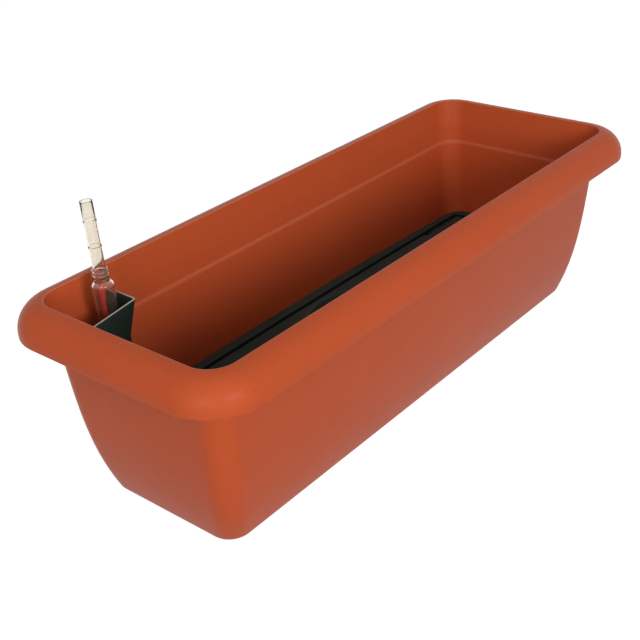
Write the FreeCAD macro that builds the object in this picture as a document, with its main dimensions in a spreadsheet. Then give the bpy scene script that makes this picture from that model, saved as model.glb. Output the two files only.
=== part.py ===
"""Window box planter with a water reservoir: a long trough with a turned-down rim, a false
floor with soil cups, a corner filling shaft and a float gauge that leans in that shaft.

The frame: X runs along the box, Y across it, Z up. The origin is the middle of the footprint,
on the surface that the feet stand on. The filling shaft is in the corner at -X +Y.
All sizes are in millimetres and angles in degrees.
"""
import FreeCAD, Part
import math
import os

import Sketcher
from FreeCAD import Vector

SIZES = {
    # the box
    "box_length": 600,
    "box_width": 232,
    "box_height": 172,
    "rim_overhang": 22.5,
    "rim_skirt": 3,
    "rim_corner": 44,
    "rim_wall": 2,
    "lip_rounding": 0.8,
    "wall_setback": 2.4,
    "wall_taper": 12.2,
    "wall_belly": 11.2,
    "end_flare": 1.9,
    "wall_corner": 22,
    "base_corner": 18,
    "upper_wall": 1.8,
    "lower_wall": 2.6,
    "ledge_drop": 43.5,
    "floor_wall": 3,
    "foot_rise": 1.5,
    "foot_length": 40,
    "foot_breadth": 26,
    # the drain and its plug
    "drain_radius": 6,
    "plug_gap": 0.3,
    "plug_flange": 3,
    "plug_head": 2,
    "plug_tab_rise": 9,
    "plug_tab_width": 12,
    "plug_tab_wall": 2.4,
    # the false floor
    "floor_level": 53,
    "floor_sheet": 2,
    "floor_gap": 0.6,
    "seat_gap": 0.3,
    "sheet_bow": 6.5,
    "sheet_corner": 20,
    "border_width": 10,
    "field_drop": 2.5,
    "field_bow": 3,
    "field_corner": 6,
    "cup_place": 15,
    "cup_pitch_share": 0.25,
    "cup_margin": 6,
    "cup_foot": 30,
    "end_cup_mouth": 34,
    "end_cup_foot": 20,
    "cup_slot_count": 8,
    "cup_slot_width": 3,
    "cup_slot_rise": 15,
    "cup_slot_reach": 12,
    "vent_length": 15,
    "vent_width": 2.6,
    "vent_pitch": 21,
    "vent_count": 3,
    "vent_margin": 4.5,
    "vent_step_gap": 0.6,
    # the filling shaft
    "shaft_top": 155,
    "shaft_waist": 125,
    "shaft_sheet": 1.5,
    "shaft_skew": 9.3,
    "shaft_mouth_length": 64.6,
    "shaft_mouth_width": 35,
    "shaft_waist_length": 53.5,
    "shaft_waist_width": 28.3,
    "shaft_foot_length": 47.4,
    "shaft_foot_width": 24.5,
    "shaft_corner": 3.5,
    "shaft_gap": 0.6,
    "shaft_kerb": 8,
    "notch_relief": 0.4,
    "tab_length": 8,
    "tab_depth": 5,
    "tab_gap": 0.2,
    # the float gauge
    "gauge_gap": 1.9,
    "gauge_front_gap": 1.3,
    "gauge_lean": 3.2,
    "gauge_lift": 0.45,
    "bottle_radius": 8.5,
    "bottle_wall": 0.9,
    "bottle_foot": 12,
    "bottle_shoulder": 164,
    "shoulder_rise": 5.5,
    "neck_top": 179.5,
    "neck_wall": 0.8,
    "neck_gap": 0.05,
    "collar_rise": 2.2,
    "collar_bulge": 0.55,
    "tube_radius": 4.9,
    "tube_wall": 0.8,
    "tube_entry": 171,
    "tube_top": 234,
    "ring_low_share": 0.33,
    "ring_high_share": 0.71,
    "ring_rise": 1.2,
    "ring_bulge": 0.4,
    "cap_rise": 3,
    "cap_plug": 4,
    "pin_radius": 2.4,
    "inlet_width": 1.6,
    "float_gap": 0.6,
    "float_rest": 0.4,
    "float_length": 26,
    "float_rounding": 1.5,
    "rod_radius": 1.7,
    "rod_aside": 1.4,
    "rod_behind": 1.6,
    "rod_rise": 2,
    "needle_radius": 1.1,
    "needle_drop": 0.7,
}

doc = FreeCAD.newDocument("window_box_planter")
sheet = doc.addObject("Spreadsheet::Sheet", "Sizes")
for row, (alias, value) in enumerate(SIZES.items(), start=1):
    sheet.set(f"A{row}", alias)
    sheet.set(f"B{row}", str(value))
    sheet.setAlias(f"B{row}", alias)
doc.recompute()


def number(expression):
    """The value that an expression has now, to draw a sketch near its final shape."""
    return float(sheet.evalExpression(str(expression)))


# ---------------------------------------------------------------- helpers for sketches and bodies

def new_body(name):
    """A body whose label names the piece."""
    body = doc.addObject("PartDesign::Body", name)
    body.Label = name
    return body


def origin_plane(body, role):
    """One of the body's own origin planes."""
    return next(item for item in body.Origin.OriginFeatures if item.Role == role)


def new_sketch(body, name, role="XY_Plane", height="0", shift="0"):
    """An empty sketch on one of the body's planes, raised by height and moved along by shift."""
    sketch = body.newObject("Sketcher::SketchObject", name)
    sketch.AttachmentSupport = [(origin_plane(body, role), "")]
    sketch.MapMode = "FlatFace"
    sketch.setExpression("AttachmentOffset.Base.z", height)
    sketch.setExpression("AttachmentOffset.Base.x", shift)
    return sketch


def hold(sketch, name, constraint, expression):
    """Add a constraint with a name and bind it to an expression."""
    index = sketch.addConstraint(constraint)
    sketch.renameConstraint(index, name)
    sketch.setExpression(f"Constraints.{name}", expression)


def rounded_loop(sketch, across, along, corner):
    """A closed rectangle with round corners, centred on the sketch's origin, from half sizes."""
    a, b, r = number(across), number(along), number(corner)
    first = len(sketch.Geometry)
    sides = [
        (Vector(a, r - b, 0), Vector(a, b - r, 0)),
        (Vector(a - r, b, 0), Vector(r - a, b, 0)),
        (Vector(-a, b - r, 0), Vector(-a, r - b, 0)),
        (Vector(r - a, -b, 0), Vector(a - r, -b, 0)),
    ]
    centres = [
        Vector(a - r, b - r, 0),
        Vector(r - a, b - r, 0),
        Vector(r - a, r - b, 0),
        Vector(a - r, r - b, 0),
    ]
    for turn, (side, centre) in enumerate(zip(sides, centres)):
        start = math.radians(90 * turn)
        circle = Part.Circle(centre, Vector(0, 0, 1), r)
        sketch.addGeometry(Part.LineSegment(*side), False)
        sketch.addGeometry(Part.ArcOfCircle(circle, start, start + math.radians(90)), False)
    right, back, left, front = first, first + 2, first + 4, first + 6
    for turn in range(4):
        line = first + 2 * turn
        arc = line + 1
        after = first + (2 * turn + 2) % 8
        sketch.addConstraint(Sketcher.Constraint("Tangent", line, 2, arc, 1))
        sketch.addConstraint(Sketcher.Constraint("Tangent", arc, 2, after, 1))
    for arc in (first + 3, first + 5, first + 7):
        sketch.addConstraint(Sketcher.Constraint("Equal", first + 1, arc))
    sketch.addConstraint(Sketcher.Constraint("Vertical", right))
    sketch.addConstraint(Sketcher.Constraint("Vertical", left))
    sketch.addConstraint(Sketcher.Constraint("Horizontal", back))
    sketch.addConstraint(Sketcher.Constraint("Horizontal", front))
    hold(sketch, "right", Sketcher.Constraint("DistanceX", -1, 1, right, 1, a), across)
    hold(sketch, "left", Sketcher.Constraint("DistanceX", left, 1, -1, 1, a), across)
    hold(sketch, "back", Sketcher.Constraint("DistanceY", -1, 1, back, 1, b), along)
    hold(sketch, "front", Sketcher.Constraint("DistanceY", front, 1, -1, 1, b), along)
    hold(sketch, "corner", Sketcher.Constraint("Radius", first + 1, r), corner)


def bowed_loop(sketch, across, along, corner, bow):
    """A rounded loop whose back and front are long arcs, so that its ends are narrower by bow."""
    a, b, r, drop = number(across), number(along), number(corner), number(bow)
    long_radius = f"((({across}) * ({across}) + ({bow}) * ({bow})) / (2 * ({bow})))"
    big = (a * a + drop * drop) / (2 * drop)
    rise = math.sqrt((big - r) ** 2 - (a - r) ** 2)
    lean = math.atan2(rise, a - r)
    corner_y = b - big + rise
    quarter, half, whole = math.pi / 2, math.pi, 2 * math.pi
    up = Vector(0, 0, 1)
    corners = [
        (Vector(a - r, corner_y, 0), 0, lean),
        (Vector(r - a, corner_y, 0), half - lean, half),
        (Vector(r - a, -corner_y, 0), half, half + lean),
        (Vector(a - r, -corner_y, 0), whole - lean, whole),
    ]
    sides = [
        Part.LineSegment(Vector(a, -corner_y, 0), Vector(a, corner_y, 0)),
        Part.ArcOfCircle(Part.Circle(Vector(0, b - big, 0), up, big), lean, half - lean),
        Part.LineSegment(Vector(-a, corner_y, 0), Vector(-a, -corner_y, 0)),
        Part.ArcOfCircle(Part.Circle(Vector(0, big - b, 0), up, big), half + lean, whole - lean),
    ]
    for side, (centre, start, stop) in zip(sides, corners):
        sketch.addGeometry(side, False)
        sketch.addGeometry(Part.ArcOfCircle(Part.Circle(centre, up, r), start, stop), False)
    right, back, left, front = 0, 2, 4, 6
    for side in (right, back, left, front):
        sketch.addConstraint(Sketcher.Constraint("Tangent", side, 2, side + 1, 1))
        sketch.addConstraint(Sketcher.Constraint("Tangent", side + 1, 2, (side + 2) % 8, 1))
    for arc in (3, 5, 7):
        sketch.addConstraint(Sketcher.Constraint("Equal", 1, arc))
    sketch.addConstraint(Sketcher.Constraint("Equal", back, front))
    sketch.addConstraint(Sketcher.Constraint("Vertical", right))
    sketch.addConstraint(Sketcher.Constraint("Vertical", left))
    sketch.addConstraint(Sketcher.Constraint("PointOnObject", back, 3, -2))
    sketch.addConstraint(Sketcher.Constraint("PointOnObject", front, 3, -2))
    hold(sketch, "right", Sketcher.Constraint("DistanceX", -1, 1, right, 1, a), across)
    hold(sketch, "left", Sketcher.Constraint("DistanceX", left, 1, -1, 1, a), across)
    offset = f"{long_radius} - {along}"
    hold(sketch, "back", Sketcher.Constraint("DistanceY", back, 3, -1, 1, big - b), offset)
    hold(sketch, "front", Sketcher.Constraint("DistanceY", -1, 1, front, 3, big - b), offset)
    hold(sketch, "corner", Sketcher.Constraint("Radius", 1, r), corner)
    hold(sketch, "long_radius", Sketcher.Constraint("Radius", back, big), long_radius)


def outline_loop(sketch, points, arcs=None, tag=""):
    """A closed outline through points, each a pair of expressions.

    arcs maps the index of a side's first point to the expression of its centre's X and Y and
    "left" or "right", the way the side turns. The other sides are straight.
    """
    arcs = arcs or {}
    places = [Vector(number(x), number(y), 0) for x, y in points]
    ends = []
    for index, place in enumerate(places):
        after = places[(index + 1) % len(places)]
        if index in arcs:
            centre_x, centre_y, turn = arcs[index]
            centre = Vector(number(centre_x), number(centre_y), 0)
            start, stop = (place, after) if turn == "left" else (after, place)
            angles = [math.atan2(p.y - centre.y, p.x - centre.x) for p in (start, stop)]
            if angles[1] <= angles[0]:
                angles[1] += 2 * math.pi
            circle = Part.Circle(centre, Vector(0, 0, 1), place.distanceToPoint(centre))
            geometry = sketch.addGeometry(Part.ArcOfCircle(circle, *angles), False)
            ends.append((geometry, 1, 2) if turn == "left" else (geometry, 2, 1))
        else:
            geometry = sketch.addGeometry(Part.LineSegment(place, after), False)
            ends.append((geometry, 1, 2))
    for index, (geometry, _, last) in enumerate(ends):
        after, first, _ = ends[(index + 1) % len(ends)]
        sketch.addConstraint(Sketcher.Constraint("Coincident", geometry, last, after, first))
    for index, (x, y) in enumerate(points):
        geometry, first, _ = ends[index]
        place = places[index]
        hold(sketch, f"x{index}{tag}", Sketcher.Constraint("DistanceX", -1, 1, geometry, first, place.x), x)
        hold(sketch, f"y{index}{tag}", Sketcher.Constraint("DistanceY", -1, 1, geometry, first, place.y), y)
    for index, (centre_x, _, _) in arcs.items():
        geometry = ends[index][0]
        spot = Sketcher.Constraint("DistanceX", -1, 1, geometry, 3, number(centre_x))
        hold(sketch, f"cx{index}{tag}", spot, centre_x)


def circle_loop(sketch, x, y, radius, tag=""):
    """A circle with its centre and radius bound to expressions."""
    centre = Vector(number(x), number(y), 0)
    geometry = sketch.addGeometry(Part.Circle(centre, Vector(0, 0, 1), number(radius)), False)
    hold(sketch, f"cx{tag}", Sketcher.Constraint("DistanceX", -1, 1, geometry, 3, centre.x), x)
    hold(sketch, f"cy{tag}", Sketcher.Constraint("DistanceY", -1, 1, geometry, 3, centre.y), y)
    hold(sketch, f"radius{tag}", Sketcher.Constraint("Radius", geometry, number(radius)), radius)


def box_loop(sketch, x_low, x_high, y_low, y_high, tag=""):
    """A plain rectangle between two corners."""
    outline_loop(sketch, [(x_low, y_low), (x_high, y_low), (x_high, y_high), (x_low, y_high)], tag=tag)


def pad(body, name, sketch, length):
    """Raise a sketch by a length."""
    feature = body.newObject("PartDesign::Pad", name)
    feature.Profile = sketch
    feature.setExpression("Length", length)
    return feature


def pocket(body, name, sketch, length, upwards=False):
    """Cut a sketch down into the body, or up into it."""
    feature = body.newObject("PartDesign::Pocket", name)
    feature.Profile = sketch
    feature.setExpression("Length", length)
    feature.Reversed = upwards
    return feature


def loft(body, name, sketches, cut=False, ruled=False):
    """Join sketches at rising heights by one skin, added or cut away."""
    kind = "PartDesign::SubtractiveLoft" if cut else "PartDesign::AdditiveLoft"
    feature = body.newObject(kind, name)
    feature.Profile = sketches[0]
    feature.Sections = sketches[1:]
    feature.Ruled = ruled
    return feature


def turn(body, name, sketch, cut=False):
    """Turn a half section about the sketch's upright axis, added or cut away."""
    kind = "PartDesign::Groove" if cut else "PartDesign::Revolution"
    feature = body.newObject(kind, name)
    feature.Profile = sketch
    feature.ReferenceAxis = (sketch, ["V_Axis"])
    feature.Angle = 360
    return feature


def turned(body, name, points, arcs=None):
    """A solid of revolution about the body's own Z from the half section's points."""
    sketch = new_sketch(body, f"{name}_section", role="XZ_Plane")
    outline_loop(sketch, points, arcs)
    return turn(body, name, sketch)


def fillet(body, name, edges, radius):
    """Round the named edges of the body as it is now."""
    base = body.Tip
    feature = body.newObject("PartDesign::Fillet", name)
    feature.Base = (base, edges)
    feature.setExpression("Radius", radius)
    return feature


def cut_volume(feature, before):
    """Stop if a cutting feature took nothing away."""
    doc.recompute()
    if not feature.Shape.Volume < before - 1:
        raise RuntimeError(f"{feature.Label} cuts nothing")
    return feature.Shape.Volume


# ------------------------------------------------------------------------- the box's own outline
# The wall leaves the rim, tapers evenly and then bellies in towards the base. Its inset is its
# distance in from the rim's outer edge, nearly the same on all four sides.

HALF_LENGTH = "(Sizes.box_length / 2)"
HALF_WIDTH = "(Sizes.box_width / 2)"
RIM_FOOT = "(Sizes.box_height - Sizes.rim_overhang - Sizes.rim_skirt)"
LEDGE_LEVEL = "(Sizes.box_height - Sizes.ledge_drop)"
FLOOR_TOP = "(Sizes.foot_rise + Sizes.floor_wall)"
LIP_CORNER = "(Sizes.rim_corner - Sizes.rim_overhang)"
BELLY_POWER = 4
OVERCUT = 1
LEVEL_TOLERANCE = 0.01


def depth_at(level):
    """How far down the wall a level is: 0 at the rim's foot and 1 at the base."""
    return f"(1 - ({level}) / {RIM_FOOT})"


def outer_inset(level):
    """The wall's outer face, measured in from the rim's outer edge."""
    depth = depth_at(level)
    taper = f"Sizes.wall_taper * {depth}"
    belly = f"Sizes.wall_belly * pow({depth}; {BELLY_POWER})"
    return f"(Sizes.rim_overhang + Sizes.wall_setback + {taper} + {belly})"


def outer_corner(level):
    """The radius of the wall's upright corners at a level."""
    return f"(Sizes.wall_corner - (Sizes.wall_corner - Sizes.base_corner) * {depth_at(level)})"


def between(low, high, share):
    """A level part of the way from low to high."""
    return f"({low} + ({high} - {low}) * {share})"


def half_length(level, inset):
    """Half the length at a level: the ends stand a little steeper than the long sides."""
    return f"({HALF_LENGTH} - {inset} + Sizes.end_flare * max(0; {depth_at(level)}))"


def half_width(inset):
    """Half the width, inset from the rim's outer edge."""
    return f"({HALF_WIDTH} - {inset})"


def wall_section(body, name, level, inset, corner):
    """A rounded rectangle at a level, inset from the rim's outer edge."""
    sketch = new_sketch(body, name, height=level)
    rounded_loop(sketch, half_length(level, inset), half_width(inset), corner)
    return sketch


def bowed_section(body, name, level, inset, corner, bow):
    """A section inset from the rim's outer edge whose long sides are bowed."""
    sketch = new_sketch(body, name, height=level)
    bowed_loop(sketch, half_length(level, inset), half_width(inset), corner, bow)
    return sketch


def lower_inner_inset(level):
    """The wall's inner face below the ledge."""
    return f"({outer_inset(level)} + Sizes.lower_wall)"


def lower_inner_corner(level):
    """The radius of the inner corners below the ledge."""
    return f"({outer_corner(level)} - Sizes.lower_wall)"


RIM_FOOT_INSET = "(Sizes.rim_overhang + Sizes.wall_setback + Sizes.upper_wall)"
RIM_FOOT_CORNER = "(Sizes.wall_corner - Sizes.upper_wall)"
MOUTH_TOP = f"(Sizes.box_height + {OVERCUT})"


def along_throat(level, at_foot, at_lip):
    """A size that changes evenly from the rim's foot to the lip, or past it."""
    share = f"(({level}) - {RIM_FOOT}) / (Sizes.box_height - {RIM_FOOT})"
    return f"({at_foot} + ({at_lip} - {at_foot}) * {share})"


def throat_inset(level):
    """The wall's inner face from the rim's foot out to the lip."""
    return along_throat(level, RIM_FOOT_INSET, "Sizes.rim_overhang")


def throat_corner(level):
    """The radius of the inner corners from the rim's foot to the lip."""
    return along_throat(level, RIM_FOOT_CORNER, LIP_CORNER)


# ------------------------------------------------------------------------ the false floor's levels
# The middle cup spans the field nearly from front to back. The drain lies midway between its mouth
# and the right cup's.

UNDERSIDE = "(Sizes.floor_level - Sizes.floor_sheet)"
FIELD_TOP = "(Sizes.floor_level - Sizes.field_drop)"
FIELD_UNDERSIDE = "(Sizes.floor_level - Sizes.field_drop - Sizes.floor_sheet)"
SHEET_INSET = f"({lower_inner_inset(UNDERSIDE)} + Sizes.floor_gap)"
FIELD_INSET = f"({SHEET_INSET} + Sizes.border_width)"
CUP_UNDERSIDE = f"({FLOOR_TOP} + Sizes.seat_gap)"
CUP_FLOOR = f"({CUP_UNDERSIDE} + Sizes.floor_sheet)"
CUP_MOUTH = f"({half_width(FIELD_INSET)} - Sizes.cup_margin)"
CUP_PITCH = "(Sizes.box_length * Sizes.cup_pitch_share)"
LEFT_CUP_PLACE = f"(Sizes.cup_place - {CUP_PITCH})"
RIGHT_CUP_PLACE = f"(Sizes.cup_place + {CUP_PITCH})"
DRAIN_PLACE = f"((Sizes.cup_place + {CUP_MOUTH} + {RIGHT_CUP_PLACE} - Sizes.end_cup_mouth) / 2)"


def cup_neck(mouth, foot):
    """A cup's inner radius at the field's underside, part of the way from its foot to its mouth."""
    share = f"({FIELD_UNDERSIDE} - {CUP_FLOOR}) / ({FIELD_TOP} - {CUP_FLOOR})"
    return f"({foot} + ({mouth} - {foot}) * {share})"


# ------------------------------------------------------------------------------- the planter box

def make_planter_box():
    body = new_body("planter_box")

    outer = []
    for index, share in enumerate((0, 0.12, 0.3, 0.55, 1)):
        level = between("0", RIM_FOOT, share)
        outer.append(wall_section(body, f"outer_{index}", level, outer_inset(level), outer_corner(level)))
    loft(body, "outer_wall", outer)

    # Under the rim the wall leans out to meet the lip from within.
    top = "(Sizes.box_height - Sizes.rim_wall / 2)"
    top_inset = "(Sizes.rim_overhang - Sizes.upper_wall)"
    top_corner = f"({LIP_CORNER} + Sizes.upper_wall)"
    throat = [
        wall_section(body, "throat_low", RIM_FOOT, outer_inset(RIM_FOOT), outer_corner(RIM_FOOT)),
        wall_section(body, "throat_high", top, top_inset, top_corner),
    ]
    loft(body, "throat", throat, ruled=True)

    # The rim is a quarter round shell with a short upright skirt, swept around the lip.
    spine = wall_section(body, "rim_spine", RIM_FOOT, "Sizes.rim_overhang", LIP_CORNER)
    section = new_sketch(body, "rim_section", role="XZ_Plane")
    lip = f"({HALF_LENGTH} - Sizes.rim_overhang)"
    spring = "(Sizes.box_height - Sizes.rim_overhang)"
    inner_edge = f"({HALF_LENGTH} - Sizes.rim_wall)"
    points = [
        (HALF_LENGTH, RIM_FOOT),
        (HALF_LENGTH, spring),
        (lip, "Sizes.box_height"),
        (lip, "Sizes.box_height - Sizes.rim_wall"),
        (inner_edge, spring),
        (inner_edge, RIM_FOOT),
    ]
    outline_loop(section, points, {1: (lip, spring, "left"), 3: (lip, spring, "right")})
    rim = body.newObject("PartDesign::AdditivePipe", "rim")
    rim.Profile = section
    rim.Spine = (spine, [])
    doc.recompute()
    volume = rim.Shape.Volume

    hollow = []
    for index, share in enumerate((0, 0.14, 0.35, 0.6, 1)):
        level = between(FLOOR_TOP, LEDGE_LEVEL, share)
        inset = lower_inner_inset(level)
        hollow.append(wall_section(body, f"hollow_{index}", level, inset, lower_inner_corner(level)))
    volume = cut_volume(loft(body, "lower_hollow", hollow, cut=True), volume)

    # Above the ledge the hollow opens a little wider, and its last stretch runs out at the lip.
    ledge_inset = f"({outer_inset(LEDGE_LEVEL)} + Sizes.upper_wall)"
    ledge_corner = f"({outer_corner(LEDGE_LEVEL)} - Sizes.upper_wall)"
    mouth = [wall_section(body, "mouth_low", LEDGE_LEVEL, ledge_inset, ledge_corner)]
    for name, level in (("mouth_mid", RIM_FOOT), ("mouth_high", MOUTH_TOP)):
        mouth.append(wall_section(body, name, level, throat_inset(level), throat_corner(level)))
    volume = cut_volume(loft(body, "upper_hollow", mouth, cut=True, ruled=True), volume)

    # Two shallow arches under the base leave a foot at each corner.
    clear_length = f"({half_length('0', outer_inset('0'))} - Sizes.foot_length)"
    clear_width = f"({half_width(outer_inset('0'))} - Sizes.foot_breadth)"
    across = new_sketch(body, "arch_across_outline")
    box_loop(across, f"-{clear_length}", clear_length, f"-{HALF_WIDTH}", HALF_WIDTH)
    volume = cut_volume(pocket(body, "arch_across", across, "Sizes.foot_rise", upwards=True), volume)
    along = new_sketch(body, "arch_along_outline")
    box_loop(along, f"-{HALF_LENGTH}", HALF_LENGTH, f"-{clear_width}", clear_width)
    volume = cut_volume(pocket(body, "arch_along", along, "Sizes.foot_rise", upwards=True), volume)

    drain = new_sketch(body, "drain_outline", height=FLOOR_TOP)
    circle_loop(drain, DRAIN_PLACE, "0", "Sizes.drain_radius")
    cut_volume(pocket(body, "drain", drain, "Sizes.floor_wall"), volume)

    lip_level = number("Sizes.box_height")
    lips = []
    for index, edge in enumerate(body.Tip.Shape.Edges, start=1):
        box = edge.BoundBox
        if box.ZMin > lip_level - LEVEL_TOLERANCE and box.ZMax < lip_level + LEVEL_TOLERANCE:
            lips.append(f"Edge{index}")
    fillet(body, "lip_round", lips, "Sizes.lip_rounding")
    return body


# --------------------------------------------------------------------------------- the drain plug

def make_drain_plug():
    body = new_body("drain_plug")
    body.setExpression("Placement.Base.x", DRAIN_PLACE)
    shank = new_sketch(body, "shank_outline", height="Sizes.foot_rise")
    circle_loop(shank, "0", "0", "Sizes.drain_radius - Sizes.plug_gap")
    pad(body, "shank", shank, "Sizes.floor_wall")
    head = new_sketch(body, "head_outline", height=FLOOR_TOP)
    circle_loop(head, "0", "0", "Sizes.drain_radius + Sizes.plug_flange")
    pad(body, "head", head, "Sizes.plug_head")
    tab = new_sketch(body, "tab_outline", height=f"({FLOOR_TOP} + Sizes.plug_head)")
    reach, half_wall = "(Sizes.plug_tab_width / 2)", "(Sizes.plug_tab_wall / 2)"
    box_loop(tab, f"-{reach}", reach, f"-{half_wall}", half_wall)
    pad(body, "tab", tab, "Sizes.plug_tab_rise")
    return body


# -------------------------------------------------------------------------------- the false floor
# A sheet across the box at floor level, with a raised border around a lower field. Its long sides
# are bowed, so that they stand off the wall a little towards the four corners. The corner
# at -X +Y is cut away under the filling shaft. Three cups hang from the field's underside and stand
# on the box's floor.

CUPS = [
    ("soil_cup", "Sizes.cup_place", CUP_MOUTH, "Sizes.cup_foot"),
    ("left_soil_cup", LEFT_CUP_PLACE, "Sizes.end_cup_mouth", "Sizes.end_cup_foot"),
    ("right_soil_cup", RIGHT_CUP_PLACE, "Sizes.end_cup_mouth", "Sizes.end_cup_foot"),
]


def open_cup(body, tag, place, mouth, foot):
    """Cut a cup's conical mouth through the field."""
    neck = cup_neck(mouth, foot)
    below, above = f"({FIELD_UNDERSIDE} - {OVERCUT})", f"({FIELD_TOP} + {OVERCUT})"
    cone = new_sketch(body, f"{tag}_outline", role="XZ_Plane", shift=place)
    outline_loop(cone, [
        ("0", below),
        (neck, below),
        (neck, FIELD_UNDERSIDE),
        (mouth, FIELD_TOP),
        (mouth, above),
        ("0", above),
    ])
    turn(body, tag, cone, cut=True)


def make_false_floor():
    body = new_body("false_floor")
    corner, bow = "Sizes.sheet_corner", "Sizes.sheet_bow"
    sheet_outline = bowed_section(body, "sheet_outline", UNDERSIDE, SHEET_INSET, corner, bow)
    pad(body, "sheet", sheet_outline, "Sizes.floor_sheet")

    pan_inset = f"({FIELD_INSET} - Sizes.floor_sheet)"
    pan_corner = "(Sizes.field_corner + Sizes.floor_sheet)"
    pan = bowed_section(body, "pan_outline", FIELD_UNDERSIDE, pan_inset, pan_corner, "Sizes.field_bow")
    pad(body, "pan", pan, "Sizes.field_drop + Sizes.floor_sheet")
    doc.recompute()
    volume = body.Tip.Shape.Volume
    corner, bow = "Sizes.field_corner", "Sizes.field_bow"
    field = bowed_section(body, "field_outline", "Sizes.floor_level", FIELD_INSET, corner, bow)
    cut_volume(pocket(body, "field", field, "Sizes.field_drop"), volume)

    # The kerb carries the filling shaft at the border's level.
    foot_x, foot_y = shaft_corner("foot")
    kerb = new_sketch(body, "kerb_outline", height=FIELD_UNDERSIDE)
    field_end = half_length(UNDERSIDE, FIELD_INSET)
    field_back = half_width(FIELD_INSET)
    box_loop(
        kerb,
        f"-({field_end} + {OVERCUT})",
        f"({foot_x} + Sizes.shaft_kerb)",
        f"({shaft_front(foot_x, foot_y, f'-{field_end}')} - Sizes.shaft_kerb)",
        f"({field_back} + {OVERCUT})",
    )
    pad(body, "kerb", kerb, "Sizes.field_drop + Sizes.floor_sheet")

    doc.recompute()
    volume = body.Tip.Shape.Volume
    for name, place, mouth, foot in CUPS:
        open_cup(body, f"{name}_mouth", place, mouth, foot)
        volume = cut_volume(body.Tip, volume)

    # Water runs down through the notch that the shaft stands around.
    notch = new_sketch(body, "notch_outline", height="Sizes.floor_level")
    side = f"({foot_x} - Sizes.shaft_sheet + Sizes.notch_relief)"
    far = f"-{HALF_LENGTH}"
    back_of_front = f"{SHAFT_SLANT_WALL} - Sizes.notch_relief"
    outline_loop(notch, [
        (far, f"({shaft_front(foot_x, foot_y, far)} + {back_of_front})"),
        (side, f"({shaft_front(foot_x, foot_y, side)} + {back_of_front})"),
        (side, HALF_WIDTH),
        (far, HALF_WIDTH),
    ])
    volume = cut_volume(pocket(body, "notch", notch, "Sizes.field_drop + Sizes.floor_sheet"), volume)

    slots = new_sketch(body, "tab_slot_outline", height="Sizes.floor_level")
    for tag, points in shaft_tabs("Sizes.tab_gap").items():
        outline_loop(slots, points, tag=tag)
    volume = cut_volume(pocket(body, "tab_slots", slots, "Sizes.field_drop + Sizes.floor_sheet"), volume)

    # A row of air slots runs along the foot of the field's back step, at its right end.
    vent = new_sketch(body, "vent_outline", height=FIELD_TOP)
    right = f"({field_end} - Sizes.vent_margin)"
    back = f"({field_back} - Sizes.field_bow - Sizes.vent_step_gap)"
    box_loop(vent, f"({right} - Sizes.vent_length)", right, f"({back} - Sizes.vent_width)", back)
    cut = pocket(body, "vent", vent, "Sizes.floor_sheet")
    volume = cut_volume(cut, volume)
    row = body.newObject("PartDesign::LinearPattern", "vents")
    row.Originals = [cut]
    row.Direction = (vent, ["H_Axis"])
    row.Reversed = True
    row.setExpression("Length", "Sizes.vent_pitch * (Sizes.vent_count - 1)")
    row.setExpression("Occurrences", "Sizes.vent_count")
    body.Tip = row
    cut_volume(row, volume)
    return body


def make_cup(name, place, mouth, foot):
    """A conical soil cup under the field, with a closed bottom and water slots around its foot."""
    body = new_body(name)
    body.setExpression("Placement.Base.x", place)
    neck = cup_neck(mouth, foot)
    turned(body, "cone", [
        ("0", CUP_UNDERSIDE),
        (f"({foot} + Sizes.floor_sheet)", CUP_UNDERSIDE),
        (f"({neck} + Sizes.floor_sheet)", FIELD_UNDERSIDE),
        (neck, FIELD_UNDERSIDE),
        (foot, CUP_FLOOR),
        ("0", CUP_FLOOR),
    ])
    doc.recompute()
    volume = body.Tip.Shape.Volume

    slot = new_sketch(body, "slot_outline", height=CUP_UNDERSIDE)
    half_slot = "(Sizes.cup_slot_width / 2)"
    near, far = f"({foot} - Sizes.cup_slot_reach)", f"({foot} + Sizes.cup_slot_reach)"
    box_loop(slot, near, far, f"-{half_slot}", half_slot)
    cut = pocket(body, "slot", slot, "Sizes.cup_slot_rise", upwards=True)
    volume = cut_volume(cut, volume)
    ring = body.newObject("PartDesign::PolarPattern", "slots")
    ring.Originals = [cut]
    ring.Axis = (slot, ["N_Axis"])
    ring.Angle = 360
    ring.setExpression("Occurrences", "Sizes.cup_slot_count")
    body.Tip = ring
    cut_volume(ring, volume)
    return body


# ------------------------------------------------------------------------------ the filling shaft
# Two upright walls meet at a rounded corner and close off the box's own corner. One runs straight
# to the back wall. The other, the front, slants away to the left wall. The mouth flares.

SHAFT_SLOPE = "tan(Sizes.shaft_skew * 1deg)"
SHAFT_SINE = "sin(Sizes.shaft_skew * 1deg)"
SHAFT_COSINE = "cos(Sizes.shaft_skew * 1deg)"
SHAFT_SLANT_WALL = f"(Sizes.shaft_sheet / {SHAFT_COSINE})"
SHAFT_LEVELS = {
    "foot": ("Sizes.floor_level", lower_inner_inset("Sizes.floor_level")),
    "waist": ("Sizes.shaft_waist", lower_inner_inset("Sizes.shaft_waist")),
    "mouth": ("Sizes.shaft_top", throat_inset("Sizes.shaft_top")),
}


def shaft_corner(stage):
    """Where the outer faces of the two walls would meet, at the foot, waist or mouth."""
    level, inset = SHAFT_LEVELS[stage]
    x = f"(Sizes.shaft_{stage}_length - {half_length(level, inset)})"
    y = f"({half_width(inset)} - Sizes.shaft_{stage}_width)"
    return x, y


def shaft_front(corner_x, corner_y, x):
    """The Y of the front wall's outer face at an X."""
    return f"({corner_y} + (({x}) - ({corner_x})) * {SHAFT_SLOPE})"


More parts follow.
